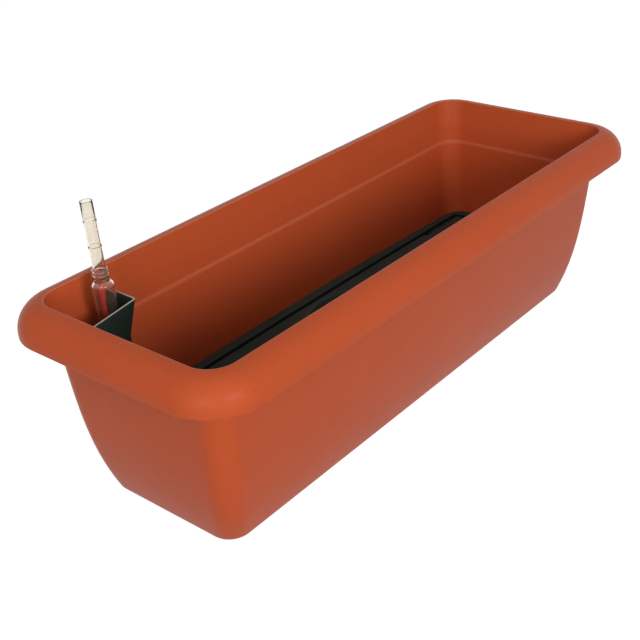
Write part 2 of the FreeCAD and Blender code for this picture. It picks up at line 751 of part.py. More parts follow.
def shaft_section(body, stage):
    """The plan of the two walls at one stage."""
    level, inset = SHAFT_LEVELS[stage]
    x, y = shaft_corner(stage)
    left = f"(Sizes.shaft_gap - {half_length(level, inset)})"
    back = f"({half_width(inset)} - Sizes.shaft_gap)"
    inner_radius = "(Sizes.shaft_corner - Sizes.shaft_sheet)"
    centre_x = f"({x} - Sizes.shaft_corner)"
    centre_y = f"({shaft_front(x, y, centre_x)} + Sizes.shaft_corner / {SHAFT_COSINE})"
    outer_turn_x = f"({centre_x} + Sizes.shaft_corner * {SHAFT_SINE})"
    outer_turn_y = f"({centre_y} - Sizes.shaft_corner * {SHAFT_COSINE})"
    inner_turn_x = f"({centre_x} + {inner_radius} * {SHAFT_SINE})"
    inner_turn_y = f"({centre_y} - {inner_radius} * {SHAFT_COSINE})"
    front_left = shaft_front(x, y, left)
    sketch = new_sketch(body, f"{stage}_outline", height=level)
    outline_loop(sketch, [
        (left, front_left),
        (outer_turn_x, outer_turn_y),
        (x, centre_y),
        (x, back),
        (f"({x} - Sizes.shaft_sheet)", back),
        (f"({x} - Sizes.shaft_sheet)", centre_y),
        (inner_turn_x, inner_turn_y),
        (left, f"({front_left} + {SHAFT_SLANT_WALL})"),
    ], {1: (centre_x, centre_y, "left"), 5: (centre_x, centre_y, "right")})
    return sketch


def shaft_tabs(clearance):
    """The outlines of the two tabs under the walls, or with a clearance, of their slots."""
    x, y = shaft_corner("foot")
    inset = SHAFT_LEVELS["foot"][1]
    reach = "(Sizes.tab_length / 2)"
    mid_x = f"(({x}) - Sizes.shaft_foot_length / 2)"
    mid_y = f"({half_width(inset)} - Sizes.shaft_foot_width / 2)"
    near_x, far_x = f"({mid_x} - {reach} - {clearance})", f"({mid_x} + {reach} + {clearance})"
    front, behind = f"- {clearance}", f"+ {SHAFT_SLANT_WALL} + {clearance}"
    side_x, side_back_x = f"({x} - Sizes.shaft_sheet - {clearance})", f"({x} + {clearance})"
    side_low, side_high = f"({mid_y} - {reach} - {clearance})", f"({mid_y} + {reach} + {clearance})"
    return {
        "front": [
            (near_x, f"({shaft_front(x, y, near_x)} {front})"),
            (far_x, f"({shaft_front(x, y, far_x)} {front})"),
            (far_x, f"({shaft_front(x, y, far_x)} {behind})"),
            (near_x, f"({shaft_front(x, y, near_x)} {behind})"),
        ],
        "side": [(side_x, side_low), (side_back_x, side_low), (side_back_x, side_high), (side_x, side_high)],
    }


def make_filler_shaft():
    body = new_body("filler_shaft")
    loft(body, "walls", [shaft_section(body, stage) for stage in SHAFT_LEVELS], ruled=True)
    tabs = new_sketch(body, "tab_outline", height="(Sizes.floor_level - Sizes.tab_depth)")
    for tag, points in shaft_tabs("0").items():
        outline_loop(tabs, points, tag=tag)
    pad(body, "tabs", tabs, "Sizes.tab_depth")
    return body


# ---------------------------------------------------------------------------------- the float gauge
# Each piece is turned about its own upright axis, from the box's floor up, and then leans. At the
# false floor the bottle stands just clear of the shaft's two walls.

BORE = "(Sizes.bottle_radius - Sizes.bottle_wall)"
TUBE_BORE = "(Sizes.tube_radius - Sizes.tube_wall)"
NECK_BORE = "(Sizes.tube_radius + Sizes.neck_gap)"
NECK_RADIUS = f"({NECK_BORE} + Sizes.neck_wall)"
SHOULDER_TOP = "(Sizes.bottle_shoulder + Sizes.shoulder_rise)"
CAP_TOP = "(Sizes.bottle_foot + Sizes.cap_plug)"


def gauge_place():
    """Where the gauge's axis meets the box's floor."""
    corner_x, corner_y = shaft_corner("foot")
    x = f"({corner_x} - Sizes.shaft_sheet - Sizes.gauge_gap - Sizes.bottle_radius)"
    wall = f"({shaft_front(corner_x, corner_y, x)} + {SHAFT_SLANT_WALL})"
    lean_back = f"(Sizes.floor_level - {FLOOR_TOP}) * tan(Sizes.gauge_lean * 1deg)"
    return x, f"({wall} + Sizes.gauge_front_gap + Sizes.bottle_radius - {lean_back})"


def new_gauge_body(name, aside="0", behind="0"):
    """A body on the gauge's leaning axis, or set to the left of it and behind it."""
    body = new_body(name)
    x, y = gauge_place()
    body.Placement.Rotation = FreeCAD.Rotation(Vector(1, 0, 0), 0)
    body.setExpression("Placement.Base.x", f"{x} - {aside}")
    body.setExpression("Placement.Base.y", f"{y} + {behind} * cos(Sizes.gauge_lean * 1deg)")
    body.setExpression("Placement.Base.z", f"{FLOOR_TOP} - {behind} * sin(Sizes.gauge_lean * 1deg)")
    body.setExpression("Placement.Rotation.Angle", "-Sizes.gauge_lean * 1deg")
    return body


def ring_around(body, name, level, radius, rise, bulge):
    """A bead around a tube, centred at a level."""
    low, high = f"({level} - {rise} / 2)", f"({level} + {rise} / 2)"
    inside = f"({radius} - Sizes.tube_wall / 2)"
    edge = f"({radius} + {bulge})"
    turned(body, name, [(inside, low), (edge, low), (edge, high), (inside, high)])


def make_gauge_body():
    body = new_gauge_body("gauge_body")
    turned(body, "bottle", [
        (BORE, "Sizes.bottle_foot"),
        ("Sizes.bottle_radius", "Sizes.bottle_foot"),
        ("Sizes.bottle_radius", "Sizes.bottle_shoulder"),
        (NECK_RADIUS, SHOULDER_TOP),
        (NECK_RADIUS, "Sizes.neck_top"),
        (NECK_BORE, "Sizes.neck_top"),
        (NECK_BORE, "Sizes.tube_entry"),
        (TUBE_BORE, "Sizes.tube_entry"),
        (TUBE_BORE, f"({SHOULDER_TOP} - Sizes.bottle_wall)"),
        (BORE, "(Sizes.bottle_shoulder - Sizes.bottle_wall)"),
    ])
    for name, level in (("collar", "Sizes.neck_top - Sizes.collar_rise / 2"),
                        ("lower_collar", "Sizes.neck_top - Sizes.collar_rise * 2")):
        ring_around(body, name, f"({level})", NECK_RADIUS, "Sizes.collar_rise", "Sizes.collar_bulge")
    return body


def make_gauge_tube():
    body = new_gauge_body("gauge_tube")
    turned(body, "tube", [
        (TUBE_BORE, "Sizes.tube_entry"),
        ("Sizes.tube_radius", "Sizes.tube_entry"),
        ("Sizes.tube_radius", "Sizes.tube_top"),
        (TUBE_BORE, "Sizes.tube_top"),
    ])
    for name, share in (("low_ring", "Sizes.ring_low_share"), ("high_ring", "Sizes.ring_high_share")):
        level = between("Sizes.neck_top", "Sizes.tube_top", share)
        ring_around(body, name, level, "Sizes.tube_radius", "Sizes.ring_rise", "Sizes.ring_bulge")
    return body


def make_gauge_foot():
    body = new_gauge_body("gauge_foot")
    plug_radius = f"({BORE} - Sizes.neck_gap)"
    cap_low = "(Sizes.bottle_foot - Sizes.cap_rise)"
    turned(body, "cap", [
        ("0", "Sizes.gauge_lift"),
        ("Sizes.pin_radius", "Sizes.gauge_lift"),
        ("Sizes.pin_radius", cap_low),
        (plug_radius, cap_low),
        ("Sizes.bottle_radius", "Sizes.bottle_foot"),
        (plug_radius, "Sizes.bottle_foot"),
        (plug_radius, CAP_TOP),
        ("0", CAP_TOP),
    ])
    doc.recompute()
    volume = body.Tip.Shape.Volume
    # Four cuts let the water in beside the pin.
    inlets = new_sketch(body, "inlet_outline", height=CAP_TOP)
    half = "(Sizes.inlet_width / 2)"
    near, far = "(Sizes.pin_radius + Sizes.inlet_width / 2)", f"({plug_radius} - Sizes.inlet_width / 2)"
    box_loop(inlets, near, far, f"-{half}", half, tag="right")
    box_loop(inlets, f"-{far}", f"-{near}", f"-{half}", half, tag="left")
    box_loop(inlets, f"-{half}", half, near, far, tag="back")
    box_loop(inlets, f"-{half}", half, f"-{far}", f"-{near}", tag="front")
    cut_volume(pocket(body, "inlets", inlets, "Sizes.cap_plug + Sizes.cap_rise"), volume)
    return body


FLOAT_LOW = f"({CAP_TOP} + Sizes.float_rest)"
FLOAT_TOP = f"({FLOAT_LOW} + Sizes.float_length)"


def make_float_body():
    body = new_gauge_body("float_body")
    radius = f"({BORE} - Sizes.float_gap)"
    shoulder = f"({radius} - Sizes.float_rounding)"
    low, high = f"({FLOAT_LOW} + Sizes.float_rounding)", f"({FLOAT_TOP} - Sizes.float_rounding)"
    turned(body, "float", [
        ("0", FLOAT_LOW),
        (shoulder, FLOAT_LOW),
        (radius, low),
        (radius, high),
        (shoulder, FLOAT_TOP),
        ("0", FLOAT_TOP),
    ], {1: (shoulder, low, "left"), 3: (shoulder, high, "left")})
    return body


def make_float_rod():
    body = new_gauge_body("float_rod", "Sizes.rod_aside", "Sizes.rod_behind")
    rod_top = "(Sizes.bottle_shoulder + Sizes.rod_rise)"
    needle_top = "(Sizes.neck_top - Sizes.needle_drop)"
    tip = f"({needle_top} - Sizes.needle_radius)"
    turned(body, "rod", [
        ("0", FLOAT_TOP),
        ("Sizes.rod_radius", FLOAT_TOP),
        ("Sizes.rod_radius", rod_top),
        ("Sizes.needle_radius", rod_top),
        ("Sizes.needle_radius", tip),
        ("0", needle_top),
    ], {4: ("0", tip, "left")})
    return body


# ------------------------------------------------------------------------------------- the export

bodies = [
    make_planter_box(),
    make_drain_plug(),
    make_false_floor(),
    *[make_cup(*cup) for cup in CUPS],
    make_filler_shaft(),
    make_gauge_body(),
    make_gauge_tube(),
    make_gauge_foot(),
    make_float_body(),
    make_float_rod(),
]
doc.recompute()

faults = [item.Label for item in doc.Objects if {"Invalid", "Error"} & set(item.State)]
for body in bodies:
    if body.Shape.isNull() or not body.Shape.isValid() or len(body.Shape.Solids) != 1:
        faults.append(body.Label)
if faults:
    raise RuntimeError("failed: " + ", ".join(faults))

os.makedirs("parts", exist_ok=True)
for body in bodies:
    body.Shape.exportStep(f"parts/{body.Label}.step")
    print(f"{body.Label}: {body.Shape.Volume / 1000:.1f} cm3")
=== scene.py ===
# %% [markdown]
# # A window box with a water reservoir
#
# The object is a long plastic trough with a rolled rim. Inside it lies a dark false floor with cups
# that reach down into the water, and in one corner a shaft takes the watering can's spout. A clear
# gauge leans in that shaft, with a red rod that a float lifts.
#
# This lesson dresses a model that already exists as plain solids. Those solids are the frame: they
# say where each piece is and how it moves. Most pieces get a finer mesh in the same place, with the
# roundings that a mould leaves, and then a material that is made of nodes.

# %% Load the frame
import math

import bmesh
import bpy
from mathutils import Matrix, Quaternion, Vector


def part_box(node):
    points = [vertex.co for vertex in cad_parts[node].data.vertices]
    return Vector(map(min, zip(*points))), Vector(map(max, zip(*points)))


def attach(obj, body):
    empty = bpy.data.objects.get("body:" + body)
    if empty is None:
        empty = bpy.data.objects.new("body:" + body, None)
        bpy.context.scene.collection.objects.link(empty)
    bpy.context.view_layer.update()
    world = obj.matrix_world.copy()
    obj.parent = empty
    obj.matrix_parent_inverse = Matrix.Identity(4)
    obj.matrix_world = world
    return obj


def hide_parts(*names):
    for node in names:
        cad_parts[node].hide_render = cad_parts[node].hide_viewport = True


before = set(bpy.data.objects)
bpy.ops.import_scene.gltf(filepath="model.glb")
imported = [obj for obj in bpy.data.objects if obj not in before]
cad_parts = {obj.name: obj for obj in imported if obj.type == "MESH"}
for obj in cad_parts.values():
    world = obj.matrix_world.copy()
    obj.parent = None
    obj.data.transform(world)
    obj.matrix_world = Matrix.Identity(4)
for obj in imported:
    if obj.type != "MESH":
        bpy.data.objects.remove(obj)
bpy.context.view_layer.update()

MM = 0.001
print("nodes:", ", ".join(sorted(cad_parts)))

# %% [markdown]
# ## The camera
#
# The view is a photograph taken from the left front corner, a little above the rim. A camera can be
# aimed with a constraint, by hand, or from three angles. Three angles are easiest to read: how far
# round it looks, how far down, and how much it is tipped to one side.

# %% Camera
CAMERA_PLACE = Vector((-681.7, -537.0, 538.1)) * MM
CAMERA_AROUND = math.radians(49.15)
CAMERA_DOWN = math.radians(28.97)
CAMERA_TIP = math.radians(-3.39)
CAMERA_LENS = 61.2


def make_camera():
    """A camera that looks from CAMERA_PLACE, with +Y at zero degrees around."""
    level = math.cos(CAMERA_DOWN)
    across, ahead = math.sin(CAMERA_AROUND) * level, math.cos(CAMERA_AROUND) * level
    forward = Vector((across, ahead, -math.sin(CAMERA_DOWN)))
    aim = forward.to_track_quat("-Z", "Y") @ Quaternion((0, 0, 1), CAMERA_TIP)
    data = bpy.data.cameras.new("camera")
    data.lens = CAMERA_LENS
    camera = bpy.data.objects.new("camera", data)
    camera.location = CAMERA_PLACE
    camera.rotation_mode = "QUATERNION"
    camera.rotation_quaternion = aim
    bpy.context.scene.collection.objects.link(camera)
    bpy.context.scene.camera = camera
    return camera


camera = make_camera()
print("camera at", [round(value, 3) for value in camera.location], "m")

# %% [markdown]
# ## Helpers for outlines
#
# Every moulded piece here is a stack of rings. A ring is a rectangle with round corners at one
# height, and each ring has the same number of points, so the skin between two rings is a band of
# four-sided faces. A bend is a short curve between two straight stretches of a section.

# %% Bends and rings
CORNER_STEPS = 16
LONG_STEPS = 40
SHORT_STEPS = 14
QUARTER = math.radians(90)


def bend(start, corner, end, steps=4):
    """Points on a curve from start to end that is pulled towards the corner."""
    points = []
    for step in range(steps + 1):
        t = step / steps
        weights = ((1 - t) ** 2, 2 * t * (1 - t), t ** 2)
        points.append(tuple(sum(w * p[axis] for w, p in zip(weights, (start, corner, end)))
                            for axis in range(len(start))))
    return points


def rounded_ring(half_length, half_width, corner, height, bow=0.0):
    """A rectangle with round corners, as points in order, counterclockwise from above.

    A bow draws the long sides in towards the ends.
    """
    ring = []
    centre_x, centre_y = half_length - corner, half_width - corner
    for turn, (side_x, side_y) in enumerate(((1, 1), (-1, 1), (-1, -1), (1, -1))):
        centre = Vector((side_x * centre_x, side_y * centre_y, height))
        for step in range(CORNER_STEPS + 1):
            angle = QUARTER * (turn + step / CORNER_STEPS)
            ring.append(centre + corner * Vector((math.cos(angle), math.sin(angle), 0)))
        along_length = turn in (0, 2)
        steps = LONG_STEPS if along_length else SHORT_STEPS
        reach = 2 * (centre_x if along_length else centre_y)
        heading = Vector((-side_x, 0, 0)) if along_length else Vector((0, -side_y, 0))
        last = ring[-1]
        ring.extend(last + heading * reach * step / steps for step in range(1, steps))
    for point in ring:
        point.y -= bow * (point.x / half_length) ** 2 * point.y / half_width
    return ring


print("points in a ring:", len(rounded_ring(0.2, 0.1, 0.02, 0)))

# %% Skins and pieces
def skin(name, rings, loop=False, highlight_and_wear=None):
    """A mesh object with bands of faces between rings, and a face over each open end.

    Highlight and wear gives, for some rings' numbers, their value in the point attribute
    "painted_highlight", which paints those rings paler: a painted highlight, and on the shaft also wear.
    """
    mesh_builder = bmesh.new()
    painted_highlight = mesh_builder.verts.layers.float.new("painted_highlight")
    rows = [[mesh_builder.verts.new(point) for point in ring] for ring in rings]
    for number, amount in (highlight_and_wear or {}).items():
        for point in rows[number]:
            point[painted_highlight] = amount
    pairs = list(zip(rows, rows[1:]))
    if loop:
        pairs.append((rows[-1], rows[0]))
    for low, high in pairs:
        count = len(low)
        for index in range(count):
            after = (index + 1) % count
            mesh_builder.faces.new((low[index], low[after], high[after], high[index]))
    if not loop:
        mesh_builder.faces.new(list(reversed(rows[0])))
        mesh_builder.faces.new(rows[-1])
    bmesh.ops.recalc_face_normals(mesh_builder, faces=mesh_builder.faces)
    return to_object(name, mesh_builder)


def to_object(name, mesh_builder):
    """A new object in the scene from a bmesh, which is freed."""
    mesh = bpy.data.meshes.new(name)
    mesh_builder.to_mesh(mesh)
    mesh_builder.free()
    mesh.shade_smooth()
    piece = bpy.data.objects.new(name, mesh)
    bpy.context.scene.collection.objects.link(piece)
    return piece


def keep_edges(piece, degrees=35):
    """Mark the edges that turn by more than an angle as sharp, so that flats stay flat."""
    piece.data.set_sharp_from_angle(angle=math.radians(degrees))


def apply_modifiers(piece):
    """Replace a piece's mesh with what its modifiers make of it, and remove them."""
    graph = bpy.context.evaluated_depsgraph_get()
    mesh = bpy.data.meshes.new_from_object(piece.evaluated_get(graph))
    piece.modifiers.clear()
    piece.data = mesh
    return piece


def combine(piece, operation, others):
    """Cut other solids from a piece or fuse them into it, one by one, and remove them."""
    for other in others:
        change = piece.modifiers.new("combine", "BOOLEAN")
        change.operation = operation
        change.solver = "EXACT"
        change.object = other
        apply_modifiers(piece)
        bpy.data.objects.remove(other)


def shift(piece, x, y=0.0, z=0.0):
    """Move a piece's mesh, so that its origin stays at the frame's."""
    piece.data.transform(Matrix.Translation((x, y, z)))
    return piece


def lathe(name, section, steps=48, closed=False):
    """A solid turned about Z from (radius, height) points, going up the outside."""
    turns = [math.tau * step / steps for step in range(steps)]
    rings = [[Vector((radius * math.cos(a), radius * math.sin(a), height)) for a in turns]
             for radius, height in section]
    return skin(name, rings, loop=closed)


def report(piece):
    """Print how many faces a piece has and how large it is."""
    size = [round(length / MM, 1) for length in piece.dimensions]
    print(f"{piece.name}: {len(piece.data.polygons)} faces, {size} mm")


# %% [markdown]
# ## The trough's own sizes
#
# The trough is one moulding. The rim is a quarter-round shell that hangs over the wall, and the wall
# tapers and then bellies in towards the base. One rule gives how far the wall stands in from the
# rim's edge at a height, and the false floor and the shaft use the same rule to fit inside it.

# %% The wall's rule
BOX_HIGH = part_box("planter_box")[1]
HALF_LENGTH = BOX_HIGH.x
HALF_WIDTH = BOX_HIGH.y
BOX_HEIGHT = 172 * MM
RIM_OVERHANG = 22.5 * MM
RIM_SKIRT = 3 * MM
RIM_CORNER = 44 * MM
RIM_WALL = 2 * MM
RIM_FOOT = BOX_HEIGHT - RIM_OVERHANG - RIM_SKIRT
SPRING = BOX_HEIGHT - RIM_OVERHANG
LIP_CORNER = RIM_CORNER - RIM_OVERHANG
WALL_SETBACK = 2.4 * MM
WALL_TAPER = 12.2 * MM
WALL_BELLY = 11.2 * MM
END_FLARE = 1.9 * MM
WALL_CORNER = 22 * MM
BASE_CORNER = 18 * MM
UPPER_WALL = 1.8 * MM
LOWER_WALL = 2.6 * MM
LEDGE = BOX_HEIGHT - 43.5 * MM
FLOOR_TOP = 4.5 * MM
FOOT_RISE = 1.5 * MM
FOOT_LENGTH, FOOT_WIDTH = 40 * MM, 26 * MM
DRAIN, DRAIN_RADIUS = 103.94 * MM, 6 * MM


def depth(height):
    """How far down the wall a height is: 0 at the rim's foot, 1 at the base."""
    return max(0.0, 1 - height / RIM_FOOT)


def wall_inset(height):
    """How far the wall's outer face stands in from the rim's edge."""
    return RIM_OVERHANG + WALL_SETBACK + WALL_TAPER * depth(height) + WALL_BELLY * depth(height) ** 4


def wall_corner(height):
    """The radius of the wall's outer upright corners."""
    return WALL_CORNER - (WALL_CORNER - BASE_CORNER) * depth(height)


def inset_ring(inset, height, corner):
    """A ring that stands in from the rim's edge. The ends are a little steeper than the sides."""
    half_length = HALF_LENGTH - inset + END_FLARE * depth(height)
    return rounded_ring(half_length, HALF_WIDTH - inset, corner, height)


print("wall inset in mm:", [round(wall_inset(height * MM) / MM, 1) for height in (0, 50, 100, 146)])

# %% [markdown]
# ## The trough
#
# Its section is one walk: from the base up the outside of the wall, round the hollow of the rim and
# over it, and down the inside to the floor. Each stop on the walk becomes a ring, and a face closes
# the stack at each end. Sharp corners of the mould are bends here, because a plastic edge always has
# a small radius, and that radius is what catches the light along the lip.

# %% The walk up the outside
EDGE = 0.7 * MM
BASE_TURN = 2.4 * MM
WALL_STEPS = 22
HOLLOW_TURN, HOLLOW_STEPS = math.radians(78), 10
OVER_TURN, OVER_STEPS = math.radians(86.5), 18


def outer_walk():
    """Stops as (inset, height, corner) from the base to the rim's foot."""
    base = wall_inset(0)
    heights = [RIM_FOOT * step / WALL_STEPS for step in range(1, WALL_STEPS + 1)]
    stops = bend((base + BASE_TURN, 0), (base, 0), (wall_inset(BASE_TURN), BASE_TURN), 5)
    stops += [(wall_inset(height), height) for height in heights if height > 1.5 * BASE_TURN]
    return [(inset, height, wall_corner(height) - (inset - wall_inset(height))) for inset, height in stops]


def rim_arc(radius, angle):
    """A point as (inset, height) on a quarter round about the rim's centre, 0 at the skirt."""
    return RIM_OVERHANG - radius * math.cos(angle), SPRING + radius * math.sin(angle)


def rim_walk():
    """Stops up the throat, round the rim's hollow, and over the rim to the lip."""
    throat = [(23.4 * MM, 155 * MM), (22 * MM, 163 * MM)]
    throat += bend((21.2 * MM, 167.4 * MM), (20.7 * MM, 170 * MM), (18.2 * MM, SPRING + 20.05 * MM))
    hollow = [rim_arc(RIM_OVERHANG - RIM_WALL, HOLLOW_TURN * (1 - step / HOLLOW_STEPS))
              for step in range(1, HOLLOW_STEPS + 1)]
    foot = bend((RIM_WALL, RIM_FOOT + EDGE), (RIM_WALL, RIM_FOOT), (RIM_WALL - EDGE, RIM_FOOT))
    foot += bend((EDGE, RIM_FOOT), (0, RIM_FOOT), (0, RIM_FOOT + EDGE))
    over = [rim_arc(RIM_OVERHANG, OVER_TURN * step / OVER_STEPS) for step in range(OVER_STEPS + 1)]
    return [(inset, height, RIM_CORNER - inset) for inset, height in throat + hollow + foot + over]


outside = outer_walk() + rim_walk()
print("stops up the outside:", len(outside))

# %% The walk down the inside
LIP_EDGE = 0.8 * MM
SHELF = LEDGE + 0.4 * MM
FLOOR_TURN = 3 * MM


def upper(height):
    """A stop on the thinner wall above the ledge."""
    return wall_inset(height) + UPPER_WALL, height, wall_corner(height) - UPPER_WALL


def lower(height):
    """A stop on the thicker wall below the ledge."""
    return wall_inset(height) + LOWER_WALL, height, wall_corner(height) - LOWER_WALL


def below_lip(height):
    """A stop on the straight stretch from the lip down to the rim's foot."""
    lip = (RIM_OVERHANG, BOX_HEIGHT, LIP_CORNER)
    share = (BOX_HEIGHT - height) / (BOX_HEIGHT - RIM_FOOT)
    return tuple(a + (b - a) * share for a, b in zip(lip, upper(RIM_FOOT)))


def inner_walk():
    """Stops from the lip down the inside, over the ledge, to the floor."""
    stops = bend((RIM_OVERHANG - LIP_EDGE, BOX_HEIGHT, LIP_CORNER + LIP_EDGE), below_lip(BOX_HEIGHT),
                 below_lip(BOX_HEIGHT - LIP_EDGE), 4)[1:]
    stops += [below_lip(BOX_HEIGHT - drop * MM) for drop in (2, 5, 10, 15, 20, 24)]
    stops += [upper(RIM_FOOT - drop * MM) for drop in (1, 6, 12)] + [upper(LEDGE + 2.6 * MM)]
    middle = tuple((a + b) / 2 for a, b in zip(upper(SHELF), lower(SHELF)))
    stops += bend(upper(LEDGE + 1.5 * MM), upper(SHELF), middle, 3)
    stops += bend(middle, lower(SHELF - 0.6 * MM), lower(LEDGE - 1.5 * MM), 3)[1:]
    stops += [lower(height * MM) for height in (126, *range(120, 15, -8), 10)]
    wall, floor = lower(FLOOR_TOP + FLOOR_TURN), lower(FLOOR_TOP)
    stops += bend(wall, floor, (floor[0] + FLOOR_TURN, FLOOR_TOP, floor[2] - FLOOR_TURN), 5)
    return stops


inside = inner_walk()
print("stops down the inside:", len(inside))

# %% The trough
# The lip's rounded edge and the ledge are painted paler: a painted highlight where they catch the light.
LIP_HIGHLIGHT, LIP_RINGS = 0.22, 3
LEDGE_HIGHLIGHT, LEDGE_REACH = 0.08, 1.6 * MM


def make_trough():
    """The whole trough as one closed skin, with its corner feet and its drain."""
    first = len(outside)
    painted_pale = {number: LIP_HIGHLIGHT for number in range(first, first + LIP_RINGS)}
    near_ledge = [abs(height - LEDGE) < LEDGE_REACH for _, height, _ in inside]
    painted_pale |= {first + number: LEDGE_HIGHLIGHT for number, near in enumerate(near_ledge) if near}
    piece = skin("trough", [inset_ring(*stop) for stop in outside + inside], highlight_and_wear=painted_pale)
    base = wall_inset(0)
    clear_length = HALF_LENGTH + END_FLARE - base - FOOT_LENGTH
    clear_width = HALF_WIDTH - base - FOOT_WIDTH
    arches = [
        arch("arch_across", clear_length, HALF_WIDTH, along_x=True),
        arch("arch_along", clear_width, HALF_LENGTH, along_x=False),
    ]
    drain = lathe("drain_cutter", [(DRAIN_RADIUS, -FLOOR_TOP), (DRAIN_RADIUS, 2 * FLOOR_TOP)])
    combine(piece, "DIFFERENCE", [*arches, shift(drain, DRAIN)])
    keep_edges(piece)
    return piece


def arch(name, half_span, half_reach, along_x):
    """A low bar with sloping ends, which leaves the feet when it is cut from the base."""
    slope = FOOT_RISE
    profile = [(-half_span - slope, -slope), (half_span + slope, -slope)]
    profile += [(half_span, FOOT_RISE), (-half_span, FOOT_RISE)]
    rings = []
    for side in (-half_reach, half_reach):
        if along_x:
            rings.append([Vector((span, side, height)) for span, height in profile])
        else:
            rings.append([Vector((side, span, height)) for span, height in profile])
    return skin(name, rings)


trough = make_trough()
report(trough)

# %% [markdown]
# ## The false floor
#
# The false floor is a thin dark tray. Its border stands a little above a lower field, and a fine
# groove runs where the two meet. Three cups hang from the field and stand on the trough's floor, so
# that soil in them stays wet. Booleans suit it: the cups are fused to one sheet, and their hollows,
# the slots and the notch for the shaft are cut from it.

# %% The tray
FLOOR_LEVEL = 53 * MM
SHEET = 2 * MM
FIELD_DROP = 2.5 * MM
FIELD_TOP = FLOOR_LEVEL - FIELD_DROP
FIELD_UNDERSIDE = FIELD_TOP - SHEET
UNDERSIDE = FLOOR_LEVEL - SHEET
BORDER = 10 * MM
FIELD_CORNER = 6 * MM
SHEET_BOW = 6.5 * MM
FIELD_BOW = 3 * MM
GROOVE_WIDTH, GROOVE_DEPTH = 1.7 * MM, 1.4 * MM
CUP_UNDERSIDE = FLOOR_TOP + 0.3 * MM
TRAY_INSET = wall_inset(UNDERSIDE) + LOWER_WALL + 0.6 * MM
TRAY_CORNER = 20 * MM
TRAY_HALF_LENGTH = HALF_LENGTH - TRAY_INSET + END_FLARE * depth(UNDERSIDE)
TRAY_HALF_WIDTH = HALF_WIDTH - TRAY_INSET


def tray_ring(inward, height):
    """A ring inside the tray's edge, shaped like the edge on the border and like the field inside it."""
    at_edge = inward < BORDER / 2
    corner = (TRAY_CORNER if at_edge else FIELD_CORNER + BORDER) - inward
    bow = SHEET_BOW if at_edge else FIELD_BOW
    return rounded_ring(TRAY_HALF_LENGTH - inward, TRAY_HALF_WIDTH - inward, corner, height, bow)


def make_tray():
    """The sheet with its raised border, without its cups."""
    pan = BORDER - SHEET
    field = BORDER + GROOVE_WIDTH
    groove = FIELD_TOP - GROOVE_DEPTH
    stops = [(pan + 1 * MM, FIELD_UNDERSIDE)]
    stops += bend((pan + EDGE, FIELD_UNDERSIDE), (pan, FIELD_UNDERSIDE), (pan, FIELD_UNDERSIDE + EDGE))
    stops.append((pan, UNDERSIDE))
    stops += bend((EDGE, UNDERSIDE), (0, UNDERSIDE), (0, UNDERSIDE + EDGE))
    stops += bend((0, FLOOR_LEVEL - EDGE), (0, FLOOR_LEVEL), (EDGE, FLOOR_LEVEL))
    stops.append((BORDER - 2 * EDGE, FLOOR_LEVEL))
    stops += bend((BORDER - EDGE, FLOOR_LEVEL), (BORDER, FLOOR_LEVEL), (BORDER, FLOOR_LEVEL - EDGE))
    stops += [(BORDER, groove), (field, groove), (field, FIELD_TOP), (field + EDGE, FIELD_TOP)]
    return skin("tray", [tray_ring(inward, height) for inward, height in stops])


tray = make_tray()
report(tray)

# %% The cups and what is cut from the tray
# Each cup's place along the tray, and its radius at the mouth and at the foot.
CUPS = {
    "cup": (15 * MM, 61.87 * MM, 30 * MM),
    "left_cup": (-135 * MM, 34 * MM, 20 * MM),
    "right_cup": (165 * MM, 34 * MM, 20 * MM),
}
CUP_STEPS = 96


def cup_outside(name, place, mouth, foot):
    """The solid cone that a cup is cut from."""
    edge = 1.2 * MM
    wide = foot + SHEET
    section = bend((wide - edge, CUP_UNDERSIDE), (wide, CUP_UNDERSIDE),
                   (wide + 0.3 * edge, CUP_UNDERSIDE + edge))
    section.append((mouth + SHEET, FIELD_TOP - 0.5 * MM))
    return shift(lathe(name, section, CUP_STEPS), place)


def cup_inside(name, place, mouth, foot):
    """The space inside a cup, with a rounded mouth that flares into the field."""
    floor = CUP_UNDERSIDE + SHEET
    flare = mouth + 2 * MM
    section = bend((foot - 2 * MM, floor), (foot, floor), (foot + 1 * MM, floor + 1.6 * MM))
    section += bend((mouth - 1.2 * MM, FIELD_TOP - 2.2 * MM), (mouth, FIELD_TOP),
                    (flare, FIELD_TOP + 0.1 * MM))
    section.append((flare, FIELD_TOP + 3 * MM))
    return shift(lathe(name, section, CUP_STEPS), place)


def block(name, low, high):
    """A plain block, to cut with."""
    corners = [(low[0], low[1]), (high[0], low[1]), (high[0], high[1]), (low[0], high[1])]
    return skin(name, [[Vector((x, y, z)) for x, y in corners] for z in (low[2], high[2])])


print("cups along the tray at", [round(cup[0] / MM) for cup in CUPS.values()], "mm")

# %% [markdown]
# The water slots stand around each cup's foot, and the air slots stand in a row. Both are one small
# bar that repeats, so a node tree places the bars: around a circle, or along a line.

# %% Bars around a circle or along a line
def new_tree(name, inputs):
    """A geometry node tree with a geometry output and named number inputs."""
    tree = bpy.data.node_groups.new(name, "GeometryNodeTree")
    tree.interface.new_socket("Geometry", in_out="OUTPUT", socket_type="NodeSocketGeometry")
    for label, kind in inputs.items():
        tree.interface.new_socket(label, in_out="INPUT", socket_type=kind)
    return tree


